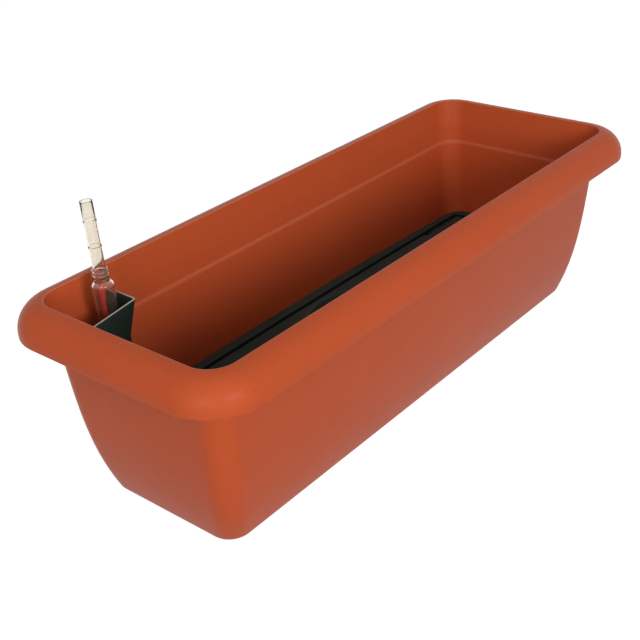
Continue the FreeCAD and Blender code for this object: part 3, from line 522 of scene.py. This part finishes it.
def bars_tree(name, around):
    """Bars that stand around a circle and point outwards, or that lie along a line."""
    tree = new_tree(name, {
        "Count": "NodeSocketInt",
        "Reach": "NodeSocketFloat",
        "Length": "NodeSocketFloat",
        "Width": "NodeSocketFloat",
        "Height": "NodeSocketFloat",
        "Material": "NodeSocketMaterial",
    })
    nodes, link = tree.nodes, tree.links.new
    given = nodes.new("NodeGroupInput").outputs
    size = nodes.new("ShaderNodeCombineXYZ")
    for axis, label in enumerate(("Length", "Width", "Height")):
        link(given[label], size.inputs[axis])
    bar = nodes.new("GeometryNodeMeshCube")
    link(size.outputs[0], bar.inputs["Size"])
    place = nodes.new("GeometryNodeInstanceOnPoints")
    if around:
        circle = nodes.new("GeometryNodeMeshCircle")
        link(given["Count"], circle.inputs["Vertices"])
        link(given["Reach"], circle.inputs["Radius"])
        link(circle.outputs["Mesh"], place.inputs["Points"])
        where = nodes.new("GeometryNodeInputPosition")
        turn = nodes.new("FunctionNodeAlignRotationToVector")
        turn.axis = "X"
        turn.pivot_axis = "Z"
        link(where.outputs[0], turn.inputs["Vector"])
        link(turn.outputs[0], place.inputs["Rotation"])
    else:
        step = nodes.new("ShaderNodeCombineXYZ")
        link(given["Reach"], step.inputs[0])
        line = nodes.new("GeometryNodeMeshLine")
        line.mode = "OFFSET"
        link(given["Count"], line.inputs["Count"])
        link(step.outputs[0], line.inputs["Offset"])
        link(line.outputs["Mesh"], place.inputs["Points"])
    link(bar.outputs["Mesh"], place.inputs["Instance"])
    real = nodes.new("GeometryNodeRealizeInstances")
    link(place.outputs[0], real.inputs[0])
    finish = nodes.new("GeometryNodeSetMaterial")
    link(real.outputs[0], finish.inputs["Geometry"])
    link(given["Material"], finish.inputs["Material"])
    link(finish.outputs[0], nodes.new("NodeGroupOutput").inputs[0])
    return tree


def grow(name, tree, values):
    """A plain mesh object from a geometry node tree and its input values."""
    piece = bpy.data.objects.new(name, bpy.data.meshes.new(name))
    bpy.context.scene.collection.objects.link(piece)
    change = piece.modifiers.new("grow", "NODES")
    change.node_group = tree
    for item in tree.interface.items_tree:
        if item.in_out == "INPUT" and item.name in values:
            change[item.identifier] = values[item.name]
    return apply_modifiers(piece)


SLOT_RING = bars_tree("bars_around", around=True)
SLOT_ROW = bars_tree("bars_along", around=False)
print("node trees:", SLOT_RING.name, SLOT_ROW.name)

# %% The slots
def cup_slots(name, place, foot):
    """The cutters for the water slots around one cup's foot."""
    size = {"Length": 24 * MM, "Width": 3 * MM, "Height": 30 * MM}
    return shift(grow(name, SLOT_RING, {"Count": 8, "Reach": foot, **size}), place, 0, CUP_UNDERSIDE)


def air_slots():
    """The cutters for the row of air slots at the field's back right corner."""
    count, pitch, length, width = 3, 21 * MM, 15 * MM, 2.6 * MM
    right = TRAY_HALF_LENGTH - BORDER - 4.5 * MM - length / 2
    back = TRAY_HALF_WIDTH - BORDER - FIELD_BOW - 0.6 * MM - width / 2
    size = {"Length": length, "Width": width, "Height": 12 * MM}
    row = grow("air_slots", SLOT_ROW, {"Count": count, "Reach": pitch, **size})
    return shift(row, right - pitch * (count - 1), back, FIELD_TOP)


# %% [markdown]
# ## The filling shaft
#
# Two thin walls meet at a rounded corner and close off the corner of the trough. The side wall runs
# straight to the back. The front wall slants to the left end. The same outline is drawn at the foot,
# the waist and the mouth, where it flares, and a last few rings round the top edge over.

# %% The shaft's outline
SHAFT_SHEET = 1.5 * MM
SHAFT_SLANT = math.radians(9.3)
SHAFT_CORNER = 3.5 * MM
SHAFT_GAP = 0.6 * MM
SHAFT_TOP = 155 * MM
SHAFT_WAIST = 125 * MM
# For each stage, its height and how far the shaft reaches along the trough and across it there.
SHAFT_STAGES = (
    (FLOOR_LEVEL, 47.4 * MM, 24.5 * MM),
    (SHAFT_WAIST, 53.5 * MM, 28.3 * MM),
    (SHAFT_TOP, 64.6 * MM, 35 * MM),
)
SHAFT_BENDS = 10


def shaft_plan(height):
    """The shaft's corner and its two far ends at a height, between the nearest stages."""
    under, over = SHAFT_STAGES[:2] if height <= SHAFT_WAIST else SHAFT_STAGES[1:]
    share = (height - under[0]) / (over[0] - under[0])
    ends = []
    for stage, length, width in (under, over):
        inset = (lower(stage) if stage < LEDGE else below_lip(stage))[0]
        end_x = HALF_LENGTH - inset + END_FLARE * depth(stage)
        end_y = HALF_WIDTH - inset
        ends.append((length - end_x, end_y - width, SHAFT_GAP - end_x, end_y - SHAFT_GAP))
    return [a + (b - a) * share for a, b in zip(*ends)]


def shaft_front(x):
    """Where the front wall's outer face stands at a place along the trough, at the false floor."""
    corner_x, corner_y = shaft_plan(FLOOR_LEVEL)[:2]
    return corner_y + (x - corner_x) * math.tan(SHAFT_SLANT)


def shaft_ring(height, trim=0.0):
    """The outline of both walls at a height, drawn in all round by trim."""
    corner_x, corner_y, left, back = shaft_plan(height)
    slope, cosine = math.tan(SHAFT_SLANT), math.cos(SHAFT_SLANT)
    centre_x = corner_x - SHAFT_CORNER
    centre_y = corner_y - SHAFT_CORNER * slope + SHAFT_CORNER / cosine
    outer, inner = SHAFT_CORNER - trim, SHAFT_CORNER - SHAFT_SHEET + trim

    def front(x, radius):
        return centre_y + (x - centre_x) * slope - radius / cosine

    left += trim
    back -= trim
    points = [(left, front(left, outer))]
    sweep = QUARTER - SHAFT_SLANT
    for radius, order in ((outer, range(SHAFT_BENDS + 1)), (inner, range(SHAFT_BENDS, -1, -1))):
        for step in order:
            angle = sweep * step / SHAFT_BENDS - sweep
            points.append((centre_x + radius * math.cos(angle), centre_y + radius * math.sin(angle)))
            if radius == outer and step == SHAFT_BENDS:
                points += [(centre_x + outer, back), (centre_x + inner, back)]
    points.append((left, front(left, inner)))
    return [Vector((x, y, height)) for x, y in points]


def make_shaft():
    """The two walls with a rounded top edge, whose rings are painted pale as a painted highlight and wear.
    """
    edge, edge_steps = 0.6 * MM, 4
    heights = [FLOOR_LEVEL + (SHAFT_WAIST - FLOOR_LEVEL) * step / 6 for step in range(7)]
    heights += [SHAFT_WAIST + (SHAFT_TOP - edge - SHAFT_WAIST) * step / 4 for step in range(1, 5)]
    rings = [shaft_ring(height) for height in heights]
    for step in range(1, edge_steps + 1):
        angle = QUARTER * step / edge_steps
        rings.append(shaft_ring(SHAFT_TOP - edge * (1 - math.sin(angle)), edge * (1 - math.cos(angle))))
    # The top edge is painted pale: partly a painted highlight, partly wear.
    piece = skin("shaft", rings, highlight_and_wear={number: 1.0 for number in range(len(heights), len(rings))})
    keep_edges(piece, 50)
    return piece


shaft = make_shaft()
report(shaft)

# %% Finish the false floor
def finish_tray(piece):
    """Give the tray its cups, its slots, and the kerb and the notch under the shaft."""
    corner_x = shaft_plan(FLOOR_LEVEL)[0]
    margin, into_border, hair = 8 * MM, 1 * MM, 0.02 * MM
    field_end, field_back = TRAY_HALF_LENGTH - BORDER, TRAY_HALF_WIDTH - BORDER
    kerb = block("kerb", (-field_end - into_border, shaft_front(-field_end) - margin, FIELD_UNDERSIDE),
                 (corner_x + margin, field_back + into_border, FLOOR_LEVEL - hair))
    combine(piece, "UNION", [kerb, *(cup_outside(name, *sizes) for name, sizes in CUPS.items())])
    for name, (place, mouth, foot) in CUPS.items():
        hollow = cup_inside(name, place, mouth, foot)
        combine(piece, "DIFFERENCE", [hollow, cup_slots(name + "_slots", place, foot)])
    tread = 0.4 * MM
    side = corner_x - SHAFT_SHEET + tread
    behind = SHAFT_SHEET / math.cos(SHAFT_SLANT) - tread
    outline = [(x, shaft_front(x) + behind) for x in (-HALF_LENGTH, side)]
    outline += [(side, HALF_WIDTH), (-HALF_LENGTH, HALF_WIDTH)]
    notch = skin("notch", [[Vector((x, y, z)) for x, y in outline] for z in (40 * MM, 60 * MM)])
    combine(piece, "DIFFERENCE", [notch, air_slots()])
    keep_edges(piece)


finish_tray(tray)
report(tray)

# %% [markdown]
# ## The gauge
#
# The gauge is a clear bottle with a rounded shoulder and a narrow neck, and a thinner clear tube is
# plugged into the neck. Each is turned on a lathe as a closed section, so that the wall is a real
# thin wall and light bends through it as it does in the real one. All of the gauge's pieces are made
# upright around Z and leaned together at the end.

# %% The gauge's sizes
# The sections are drawn in millimetres and scaled when they are finished.
GAUGE_LEAN = math.radians(3.2)
SIDE_GAP, FRONT_GAP = 1.9, 1.3
BOTTLE_RADIUS, BOTTLE_WALL = 8.5, 0.9
BORE = BOTTLE_RADIUS - BOTTLE_WALL
ROD_RADIUS, NEEDLE_RADIUS = 1.7, 1.1
ROD_PLACE = (-1.4 * MM, 1.6 * MM)
PIN_RADIUS = 2.4
FLOAT_LOW, FLOAT_HIGH = 16.4, 42.4
BOTTLE_FOOT, SHOULDER = 12, 164
SHOULDER_TOP = SHOULDER + 5.5
NECK_TOP = 179.5
TUBE_RADIUS, TUBE_WALL = 4.9, 0.8
TUBE_BORE = TUBE_RADIUS - TUBE_WALL
TUBE_ENTRY, TUBE_TOP = 171, 234
NECK_BORE = TUBE_RADIUS + 0.05
NECK_RADIUS = NECK_BORE + 0.8
RING_LEVELS = (197.5, 218.2)


def gauge_place():
    """Where the gauge's axis meets the trough's floor, from the shaft's corner that it stands in."""
    x = shaft_plan(FLOOR_LEVEL)[0] - SHAFT_SHEET - (SIDE_GAP + BOTTLE_RADIUS) * MM
    wall = shaft_front(x) + SHAFT_SHEET / math.cos(SHAFT_SLANT)
    y = wall + (FRONT_GAP + BOTTLE_RADIUS) * MM - (FLOOR_LEVEL - FLOOR_TOP) * math.tan(GAUGE_LEAN)
    return Vector((x, y, FLOOR_TOP))


print("the gauge stands at", [round(value / MM, 1) for value in gauge_place()], "mm")

# %% Sections of the gauge
def lean(piece):
    """Move a piece from the upright lathe to the gauge's leaning axis."""
    turn = Matrix.Rotation(-GAUGE_LEAN, 4, "X")
    piece.data.transform(Matrix.Translation(gauge_place()) @ turn)
    return piece


def scaled(section):
    """A section given in millimetres, in metres."""
    return [(radius * MM, height * MM) for radius, height in section]


def bead(radius, level, rise, bulge):
    """The stops of a rounded bead on the outside of a tube, going up."""
    low, high = level - rise / 2, level + rise / 2
    return (bend((radius, low - 0.2), (radius + bulge, low), (radius + bulge, level), 4)
            + bend((radius + bulge, level), (radius + bulge, high), (radius, high + 0.2), 4)[1:])


def bottle_section():
    """The bottle's closed section: up the outside, round the mouth and down the bore."""
    up = bend((BOTTLE_RADIUS - 0.3, BOTTLE_FOOT), (BOTTLE_RADIUS, BOTTLE_FOOT),
              (BOTTLE_RADIUS, BOTTLE_FOOT + 0.4))
    up += [(BOTTLE_RADIUS, height) for height in (40, 80, 120, 155)]
    up += bend((BOTTLE_RADIUS, SHOULDER + 1.5), (BOTTLE_RADIUS, SHOULDER_TOP - 1.2),
               (NECK_RADIUS + 0.5, SHOULDER_TOP - 0.5), 8)
    up += bend((NECK_RADIUS + 0.3, SHOULDER_TOP - 0.3), (NECK_RADIUS, SHOULDER_TOP - 0.2),
               (NECK_RADIUS, SHOULDER_TOP + 0.6), 3)
    up += bead(NECK_RADIUS, NECK_TOP - 4.4, 2.2, 0.55) + bead(NECK_RADIUS, NECK_TOP - 1.1, 1.8, 0.55)
    mouth = bend((NECK_RADIUS, NECK_TOP - 0.05), (NECK_RADIUS - 0.3, NECK_TOP),
                 (NECK_BORE + 0.05, NECK_TOP), 3)
    down = [(NECK_BORE, NECK_TOP - 0.2), (NECK_BORE, TUBE_ENTRY), (TUBE_BORE, TUBE_ENTRY)]
    down += bend((TUBE_BORE, SHOULDER_TOP - 1.5), (BORE, SHOULDER_TOP - 2), (BORE, SHOULDER + 0.5), 6)
    down += [(BORE, height) for height in (155, 120, 80, 40, BOTTLE_FOOT)]
    return scaled(up + mouth + down)


def tube_section():
    """The narrow tube's closed section, with its two rings."""
    up = [(TUBE_RADIUS, TUBE_ENTRY), (TUBE_RADIUS, 185)]
    for level in RING_LEVELS:
        up += bead(TUBE_RADIUS, level, 1.2, 0.4)
    up += bend((TUBE_RADIUS, TUBE_TOP - 0.3), (TUBE_RADIUS, TUBE_TOP), (TUBE_RADIUS - 0.4, TUBE_TOP), 3)
    down = bend((TUBE_BORE + 0.4, TUBE_TOP), (TUBE_BORE, TUBE_TOP), (TUBE_BORE, TUBE_TOP - 0.3), 3)
    down += [(TUBE_BORE, height) for height in (210, 190, TUBE_ENTRY)]
    return scaled(up + down)


def foot_section():
    """The foot: a pin, a cap that closes the bottle, and a plug inside it."""
    plug = BORE - 0.05
    section = bend((PIN_RADIUS - 0.8, 0.45), (PIN_RADIUS, 0.45), (PIN_RADIUS, 1.2), 4)
    section += [(PIN_RADIUS, 8.6)]
    section += bend((PIN_RADIUS + 0.4, 9), (plug, 9), (BOTTLE_RADIUS, BOTTLE_FOOT - 0.2), 5)
    section += [(BOTTLE_RADIUS - 0.2, BOTTLE_FOOT), (plug, BOTTLE_FOOT), (plug, 15.4)]
    section += bend((plug, 15.5), (plug, 16), (plug - 0.6, 16), 3)
    return scaled(section)


def float_section():
    """A float with rounded ends."""
    radius, low, high, turn = BORE - 0.6, FLOAT_LOW, FLOAT_HIGH, 1.5
    section = bend((radius - turn, low), (radius, low), (radius, low + turn), 5)
    section += bend((radius, high - turn), (radius, high), (radius - turn, high), 5)
    return scaled(section)


def rod_section():
    """The rod: a thicker stem and a thinner needle with a round tip."""
    stem, needle, stem_top, tip = ROD_RADIUS, NEEDLE_RADIUS, 166, 177.7
    section = [(stem, height) for height in (FLOAT_HIGH, 60, 100, 140)]
    section += bend((stem, stem_top - 0.8), (stem, stem_top), (needle, stem_top), 3) + [(needle, 172)]
    for step in range(6):
        angle = QUARTER * step / 6
        section.append((needle * math.cos(angle), tip + needle * math.sin(angle)))
    return scaled(section)


print("stops in the bottle's section:", len(bottle_section()))

# %% Turn the gauge's pieces
bottle = lean(lathe("bottle", bottle_section(), 64, closed=True))
tube = lean(lathe("tube", tube_section(), 64, closed=True))
gauge_foot = lean(lathe("gauge_plug", foot_section(), 48))
float_piece = lean(lathe("gauge_float", float_section(), 48))
rod = lean(shift(lathe("gauge_rod", rod_section(), 32), *ROD_PLACE))
for piece in (bottle, tube, gauge_foot, float_piece, rod):
    keep_edges(piece, 50)
    report(piece)

# %% [markdown]
# ## The drain plug
#
# A rubber plug closes the drain from inside. It is a turned head and shank with a flat tab to pull it
# by, and the tab is a small block with its edges bevelled.

# %% The plug
PLUG_HEAD, PLUG_SHANK = 9, 5.7


def make_drain_plug():
    """The turned plug with its tab."""
    seat = FLOOR_TOP / MM
    section = bend((PLUG_SHANK - 0.8, 1.5), (PLUG_SHANK, 1.5), (PLUG_SHANK, 2.3), 4)
    section += [(PLUG_SHANK, seat), (PLUG_HEAD - 0.4, seat)]
    section += bend((PLUG_HEAD, seat + 0.4), (PLUG_HEAD, seat + 2), (PLUG_HEAD - 1.4, seat + 2), 5)
    piece = lathe("drain_plug_rubber", scaled(section), 48)
    half_length, half_thickness = 6 * MM, 1.2 * MM
    tab = block("tab", (-half_length, -half_thickness, 5.5 * MM), (half_length, half_thickness, 15.5 * MM))
    edges = tab.modifiers.new("edges", "BEVEL")
    edges.width = 0.6 * MM
    edges.segments = 3
    apply_modifiers(tab)
    combine(piece, "UNION", [tab])
    shift(piece, DRAIN)
    keep_edges(piece)
    return piece


drain_plug = make_drain_plug()
report(drain_plug)

# %% [markdown]
# ## Shared surface effects
#
# Moulded plastic has a fine grain from the mould, like orange peel, and a very slight unevenness of
# tone. Edges are painted a little paler, partly as wear and partly as a painted highlight. Both
# effects are shader node groups, built once and used by several materials.

# %% Node group helpers
def new_group(name, inputs, outputs):
    """An empty shader group with its group input and output nodes."""
    group = bpy.data.node_groups.new(name, "ShaderNodeTree")
    for label, kind, value in inputs:
        socket = group.interface.new_socket(label, in_out="INPUT", socket_type=kind)
        socket.default_value = value
    for label, kind in outputs:
        group.interface.new_socket(label, in_out="OUTPUT", socket_type=kind)
    return group, group.nodes.new("NodeGroupInput"), group.nodes.new("NodeGroupOutput")


def add(tree, kind, **settings):
    """A new node with its settings; a setting that names an input sets that input."""
    node = tree.nodes.new(kind)
    for key, value in settings.items():
        if hasattr(node, key):
            setattr(node, key, value)
        else:
            node.inputs[key].default_value = value
    return node


def feed(tree, socket, value):
    """Set an input to a number or a colour, or link an output to it."""
    if isinstance(value, (int, float, tuple)):
        socket.default_value = value
    else:
        tree.links.new(value, socket)


def noise(tree, vector, scale, detail, roughness):
    """A noise texture on a vector, as its grey output."""
    node = add(tree, "ShaderNodeTexNoise", Detail=detail, Roughness=roughness)
    tree.links.new(vector, node.inputs["Vector"])
    feed(tree, node.inputs["Scale"], scale)
    return node.outputs["Fac"]


def maths(tree, operation, *values, clamp=False):
    """A math node on numbers or sockets."""
    node = add(tree, "ShaderNodeMath", operation=operation, use_clamp=clamp)
    for socket, value in zip(node.inputs, values):
        feed(tree, socket, value)
    return node.outputs[0]


def blend_colours(tree, factor, first, second):
    """A mix of two colours, each a socket or a value."""
    node = add(tree, "ShaderNodeMix", data_type="RGBA")
    for number, value in ((0, factor), (6, first), (7, second)):
        feed(tree, node.inputs[number], value)
    return node.outputs[2]


# %% Mould grain
def make_mould_grain():
    """Height and tone of a moulded surface, from fine peel and slow unevenness."""
    group, given, out = new_group(
        "mould_grain",
        [("Grain size", "NodeSocketFloat", 900.0), ("Fineness", "NodeSocketFloat", 0.6)],
        [("Height", "NodeSocketFloat"), ("Tone", "NodeSocketFloat"), ("Cloud", "NodeSocketFloat")],
    )
    place = add(group, "ShaderNodeTexCoord").outputs["Object"]
    fine = noise(group, place, given.outputs["Grain size"], 3.0, 0.6)
    cells = add(group, "ShaderNodeTexVoronoi", feature="SMOOTH_F1")
    group.links.new(place, cells.inputs["Vector"])
    group.links.new(given.outputs["Grain size"], cells.inputs["Scale"])
    peel = maths(group, "MULTIPLY_ADD", cells.outputs["Distance"], given.outputs["Fineness"], fine)
    cloud = noise(group, place, 14.0, 3.0, 0.55)
    group.links.new(peel, out.inputs["Height"])
    group.links.new(fine, out.inputs["Tone"])
    group.links.new(cloud, out.inputs["Cloud"])
    return group


MOULD_GRAIN = make_mould_grain()
print("group:", MOULD_GRAIN.name)

# %% Edges painted paler: wear and painted highlight
def make_edge_wear_and_highlight():
    """A mask that is 1 on raised edges, broken up by noise, where edges are painted paler: partly wear,
    partly a painted highlight.
    """
    group, given, out = new_group(
        "edge_wear_and_highlight",
        [("Low", "NodeSocketFloat", 0.52), ("High", "NodeSocketFloat", 0.62),
         ("Breakup", "NodeSocketFloat", 60.0)],
        [("Mask", "NodeSocketFloat")],
    )
    place = add(group, "ShaderNodeTexCoord").outputs["Object"]
    raised = add(group, "ShaderNodeNewGeometry").outputs["Pointiness"]
    span = add(group, "ShaderNodeMapRange", clamp=True)
    group.links.new(raised, span.inputs["Value"])
    group.links.new(given.outputs["Low"], span.inputs["From Min"])
    group.links.new(given.outputs["High"], span.inputs["From Max"])
    broken = noise(group, place, given.outputs["Breakup"], 3.0, 0.6)
    share = maths(group, "MULTIPLY_ADD", broken, 0.8, 0.35, clamp=True)
    mask = maths(group, "MULTIPLY", span.outputs["Result"], share, clamp=True)
    group.links.new(mask, out.inputs["Mask"])
    return group


EDGE_WEAR_AND_HIGHLIGHT = make_edge_wear_and_highlight()
print("group:", EDGE_WEAR_AND_HIGHLIGHT.name)

# %% [markdown]
# ## Materials
#
# Colours are written as they look on a screen and changed to linear values, because that is how a
# person picks them. Each opaque material has the same make-up: a base colour with slow and fine
# variation, edges painted paler as wear and as a painted highlight, a roughness that follows the
# grain, and a bump.

# %% Material helpers
def linear(red, green, blue):
    """A colour picked on screen, 0 to 255, as linear values."""
    def one(value):
        value /= 255
        return value / 12.92 if value <= 0.04045 else ((value + 0.055) / 1.055) ** 2.4
    return one(red), one(green), one(blue), 1.0


def use_group(tree, group, **values):
    """Place a shader group in a material with its own values."""
    node = tree.nodes.new("ShaderNodeGroup")
    node.node_tree = group
    for label, value in values.items():
        node.inputs[label.replace("_", " ")].default_value = value
    return node.outputs


def new_material(name):
    """A material with its tree and its main shader."""
    material = bpy.data.materials.new(name)
    material.use_nodes = True
    return material, material.node_tree, material.node_tree.nodes["Principled BSDF"]


print("mid grey is", round(linear(128, 128, 128)[0], 3), "in linear values")

# %% Moulded plastic
# A pale colour painted on faces that look up: a painted light from above.
TOP_LIGHT_COLOUR = (142, 150, 136)
TONE_SHARE = 0.12
GLOSS_SPREAD = 0.16
GRAIN_DEPTH = 0.25 * MM


def moulded_plastic(name, colours, grain, bump, roughness, sheen=0.5, top_light=0.0):
    """Opaque moulded plastic: cloudy tone, rubbed edges, grain in the gloss and in the bump.

    The colours are two that cloud into each other, one for edges painted paler as wear and painted
    highlight, and one for the painted highlight on marked rings.
    Top light is how much a pale colour is painted on faces that look up, as a painted light from above.
    """
    first, second, highlight_and_wear, highlight_colour = (linear(*colour) for colour in colours)
    material, tree, shader = new_material(name)
    skin_of = use_group(tree, MOULD_GRAIN, Grain_size=grain)
    edges = use_group(tree, EDGE_WEAR_AND_HIGHLIGHT)
    painted_rings = add(tree, "ShaderNodeAttribute", attribute_name="painted_highlight")
    clouded = blend_colours(tree, skin_of["Cloud"], second, first)
    # Faces that look up are painted paler, a painted light from above.
    if top_light:
        facing = add(tree, "ShaderNodeSeparateXYZ")
        tree.links.new(add(tree, "ShaderNodeTexCoord").outputs["Normal"], facing.inputs[0])
        lit_from_above = maths(tree, "MULTIPLY", facing.outputs["Z"], skin_of["Cloud"], clamp=True)
        clouded = blend_colours(tree, maths(tree, "MULTIPLY", lit_from_above, top_light), clouded, linear(*TOP_LIGHT_COLOUR))
    grained = blend_colours(tree, maths(tree, "MULTIPLY", skin_of["Tone"], TONE_SHARE), clouded, highlight_and_wear)
    # Raised edges are painted paler, partly wear and partly a painted highlight; marked rings get a
    # painted highlight.
    painted_pale = blend_colours(tree, edges["Mask"], grained, highlight_and_wear)
    finished = blend_colours(tree, painted_rings.outputs["Fac"], painted_pale, highlight_colour)
    tree.links.new(finished, shader.inputs["Base Color"])
    shader.inputs["Specular IOR Level"].default_value = sheen
    gloss = maths(tree, "MULTIPLY_ADD", skin_of["Tone"], GLOSS_SPREAD, roughness - GLOSS_SPREAD / 2)
    tree.links.new(gloss, shader.inputs["Roughness"])
    relief = add(tree, "ShaderNodeBump", Strength=bump, Distance=GRAIN_DEPTH)
    tree.links.new(skin_of["Height"], relief.inputs["Height"])
    tree.links.new(relief.outputs["Normal"], shader.inputs["Normal"])
    return material


# %% The opaque finishes
PALE, GREY = (238, 236, 228), (58, 58, 56)
# In each finish the third colour paints edges paler as wear and painted highlight, and the fourth paints
# the highlight on marked rings.
terracotta = moulded_plastic(
    "terracotta_plastic", ((191, 82, 44), (184, 76, 40), (208, 119, 79), (222, 168, 142)),
    grain=420.0, bump=1.0, roughness=0.35, sheen=0.07)
# The dark plastic's top light paints its faces that look up paler, a painted light from above.
dark = moulded_plastic(
    "dark_plastic", ((23, 38, 34), (19, 33, 29), (54, 62, 57), (178, 168, 160)),
    grain=700.0, bump=0.4, roughness=0.5, sheen=0.12, top_light=0.22)
foam = moulded_plastic(
    "float_foam", ((226, 222, 210), (212, 206, 192), PALE, PALE), grain=500.0, bump=0.5, roughness=0.8)
rubber = moulded_plastic(
    "plug_rubber", ((30, 30, 30), (24, 24, 24), GREY, GREY), grain=600.0, bump=0.4, roughness=0.75)
red = moulded_plastic(
    "red_plastic", ((220, 20, 18), (204, 15, 15), (232, 70, 60), (232, 70, 60)),
    grain=900.0, bump=0.1, roughness=0.3)
print("opaque:", ", ".join(finish.name for finish in (terracotta, dark, foam, rubber, red)))


# %% The clear finish
HAZE = 0.09


def clear_plastic():
    """Clear plastic with a warm tint and a faint haze of fine scratches."""
    material, tree, shader = new_material("clear_plastic")
    place = add(tree, "ShaderNodeTexCoord").outputs["Object"]
    haze = noise(tree, place, 220.0, 4.0, 0.65)
    tint = blend_colours(tree, haze, linear(249, 244, 236), linear(241, 234, 222))
    tree.links.new(tint, shader.inputs["Base Color"])
    tree.links.new(maths(tree, "MULTIPLY", haze, HAZE), shader.inputs["Roughness"])
    shader.inputs["Transmission Weight"].default_value = 0.985
    shader.inputs["IOR"].default_value = 1.45
    return material


clear = clear_plastic()
print("clear:", clear.name)

# %% [markdown]
# ## Dress the pieces
#
# Each new piece gets its material, replaces its solid, and rides on the body that the solid belongs
# to.

# %% Ride and replace
DRESS = (
    (trough, terracotta, "terracotta_plastic", ("planter_box",), "box"),
    (tray, dark, "dark_plastic", ("false_floor", "soil_cup", "left_soil_cup", "right_soil_cup"), "insert"),
    (shaft, dark, "dark_plastic", ("filler_shaft",), "insert"),
    (bottle, clear, "clear_plastic", ("gauge_body",), "gauge"),
    (tube, clear, "clear_plastic", ("gauge_tube",), "gauge"),
    (gauge_foot, dark, "dark_plastic", ("gauge_foot",), "gauge"),
    (float_piece, foam, "float_foam", ("float_body",), "float"),
    (rod, red, "red_plastic", ("float_rod",), "float"),
    (drain_plug, rubber, "plug_rubber", ("drain_plug",), "plug"),
)
for piece, material, slot, nodes, body in DRESS:
    piece.data.materials.clear()
    piece.data.materials.append(material)
    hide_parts(*nodes)
    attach(piece, body)
print("dressed", len(DRESS), "pieces")

# %% [markdown]
# ## Floor, light and background
#
# The photograph was taken on white. The floor is a pale matte sheet that still takes the object's
# shadow, with extra white for rays from the camera, from gloss and through glass. The world is an
# even soft light that the same rays see as white. Two large soft lamps give the shape.

# %% Floor
FLOOR_HALF = 6.0
FLOOR_GAP = 0.2 * MM
FLOOR_SHADE = 0.4
FLOOR_GLOW = 0.86


def watched(tree):
    """1 for rays that come from the camera, from gloss or through glass, and 0 for the light's own."""
    seen = add(tree, "ShaderNodeLightPath").outputs
    through = maths(tree, "MAXIMUM", seen["Is Glossy Ray"], seen["Is Transmission Ray"])
    return maths(tree, "MAXIMUM", seen["Is Camera Ray"], through)


def make_floor():
    """A large pale floor a hair under the feet."""
    corners = [(-FLOOR_HALF, -FLOOR_HALF), (FLOOR_HALF, -FLOOR_HALF)]
    corners += [(FLOOR_HALF, FLOOR_HALF), (-FLOOR_HALF, FLOOR_HALF)]
    mesh = bpy.data.meshes.new("floor")
    mesh.from_pydata([(x, y, -FLOOR_GAP) for x, y in corners], [], [(0, 1, 2, 3)])
    floor = bpy.data.objects.new("floor", mesh)
    bpy.context.scene.collection.objects.link(floor)
    material, tree, shader = new_material("floor_paper")
    shader.inputs["Base Color"].default_value = (FLOOR_SHADE, FLOOR_SHADE, FLOOR_SHADE, 1)
    shader.inputs["Roughness"].default_value = 0.9
    shader.inputs["Specular IOR Level"].default_value = 0.0
    shader.inputs["Emission Color"].default_value = (1, 1, 1, 1)
    tree.links.new(maths(tree, "MULTIPLY", watched(tree), FLOOR_GLOW), shader.inputs["Emission Strength"])
    mesh.materials.append(material)
    return floor


print("floor:", list(make_floor().dimensions), "m")

# %% Lights
LAMP_AIM = Vector((-0.05, 0, 0.12))


def area_lamp(name, place, size, power):
    """A large soft lamp at a place, turned to the object."""
    data = bpy.data.lights.new(name, "AREA")
    data.shape = "DISK"
    data.size = size
    data.energy = power
    lamp = bpy.data.objects.new(name, data)
    lamp.location = place
    lamp.rotation_euler = (LAMP_AIM - lamp.location).to_track_quat("-Z", "Y").to_euler()
    bpy.context.scene.collection.objects.link(lamp)
    print(f"{name}: {size} m wide, {power} W")


area_lamp("end_light", (-1.82, -0.75, 0.67), size=1.0, power=12.6)
area_lamp("front_light", (-0.62, -1.76, 0.87), size=0.7, power=18.2)

# %% World
WORLD_LIGHT = 0.36


def make_world():
    """Even light, which the camera and gloss see as white."""
    world = bpy.data.worlds.new("studio")
    bpy.context.scene.world = world
    world.use_nodes = True
    tree = world.node_tree
    background = tree.nodes["Background"]
    background.inputs["Color"].default_value = (1, 1, 1, 1)
    level = maths(tree, "MULTIPLY_ADD", watched(tree), 1 - WORLD_LIGHT, WORLD_LIGHT)
    tree.links.new(level, background.inputs["Strength"])


make_world()
bpy.context.scene.view_settings.view_transform = "Standard"
print("world:", bpy.context.scene.world.name)
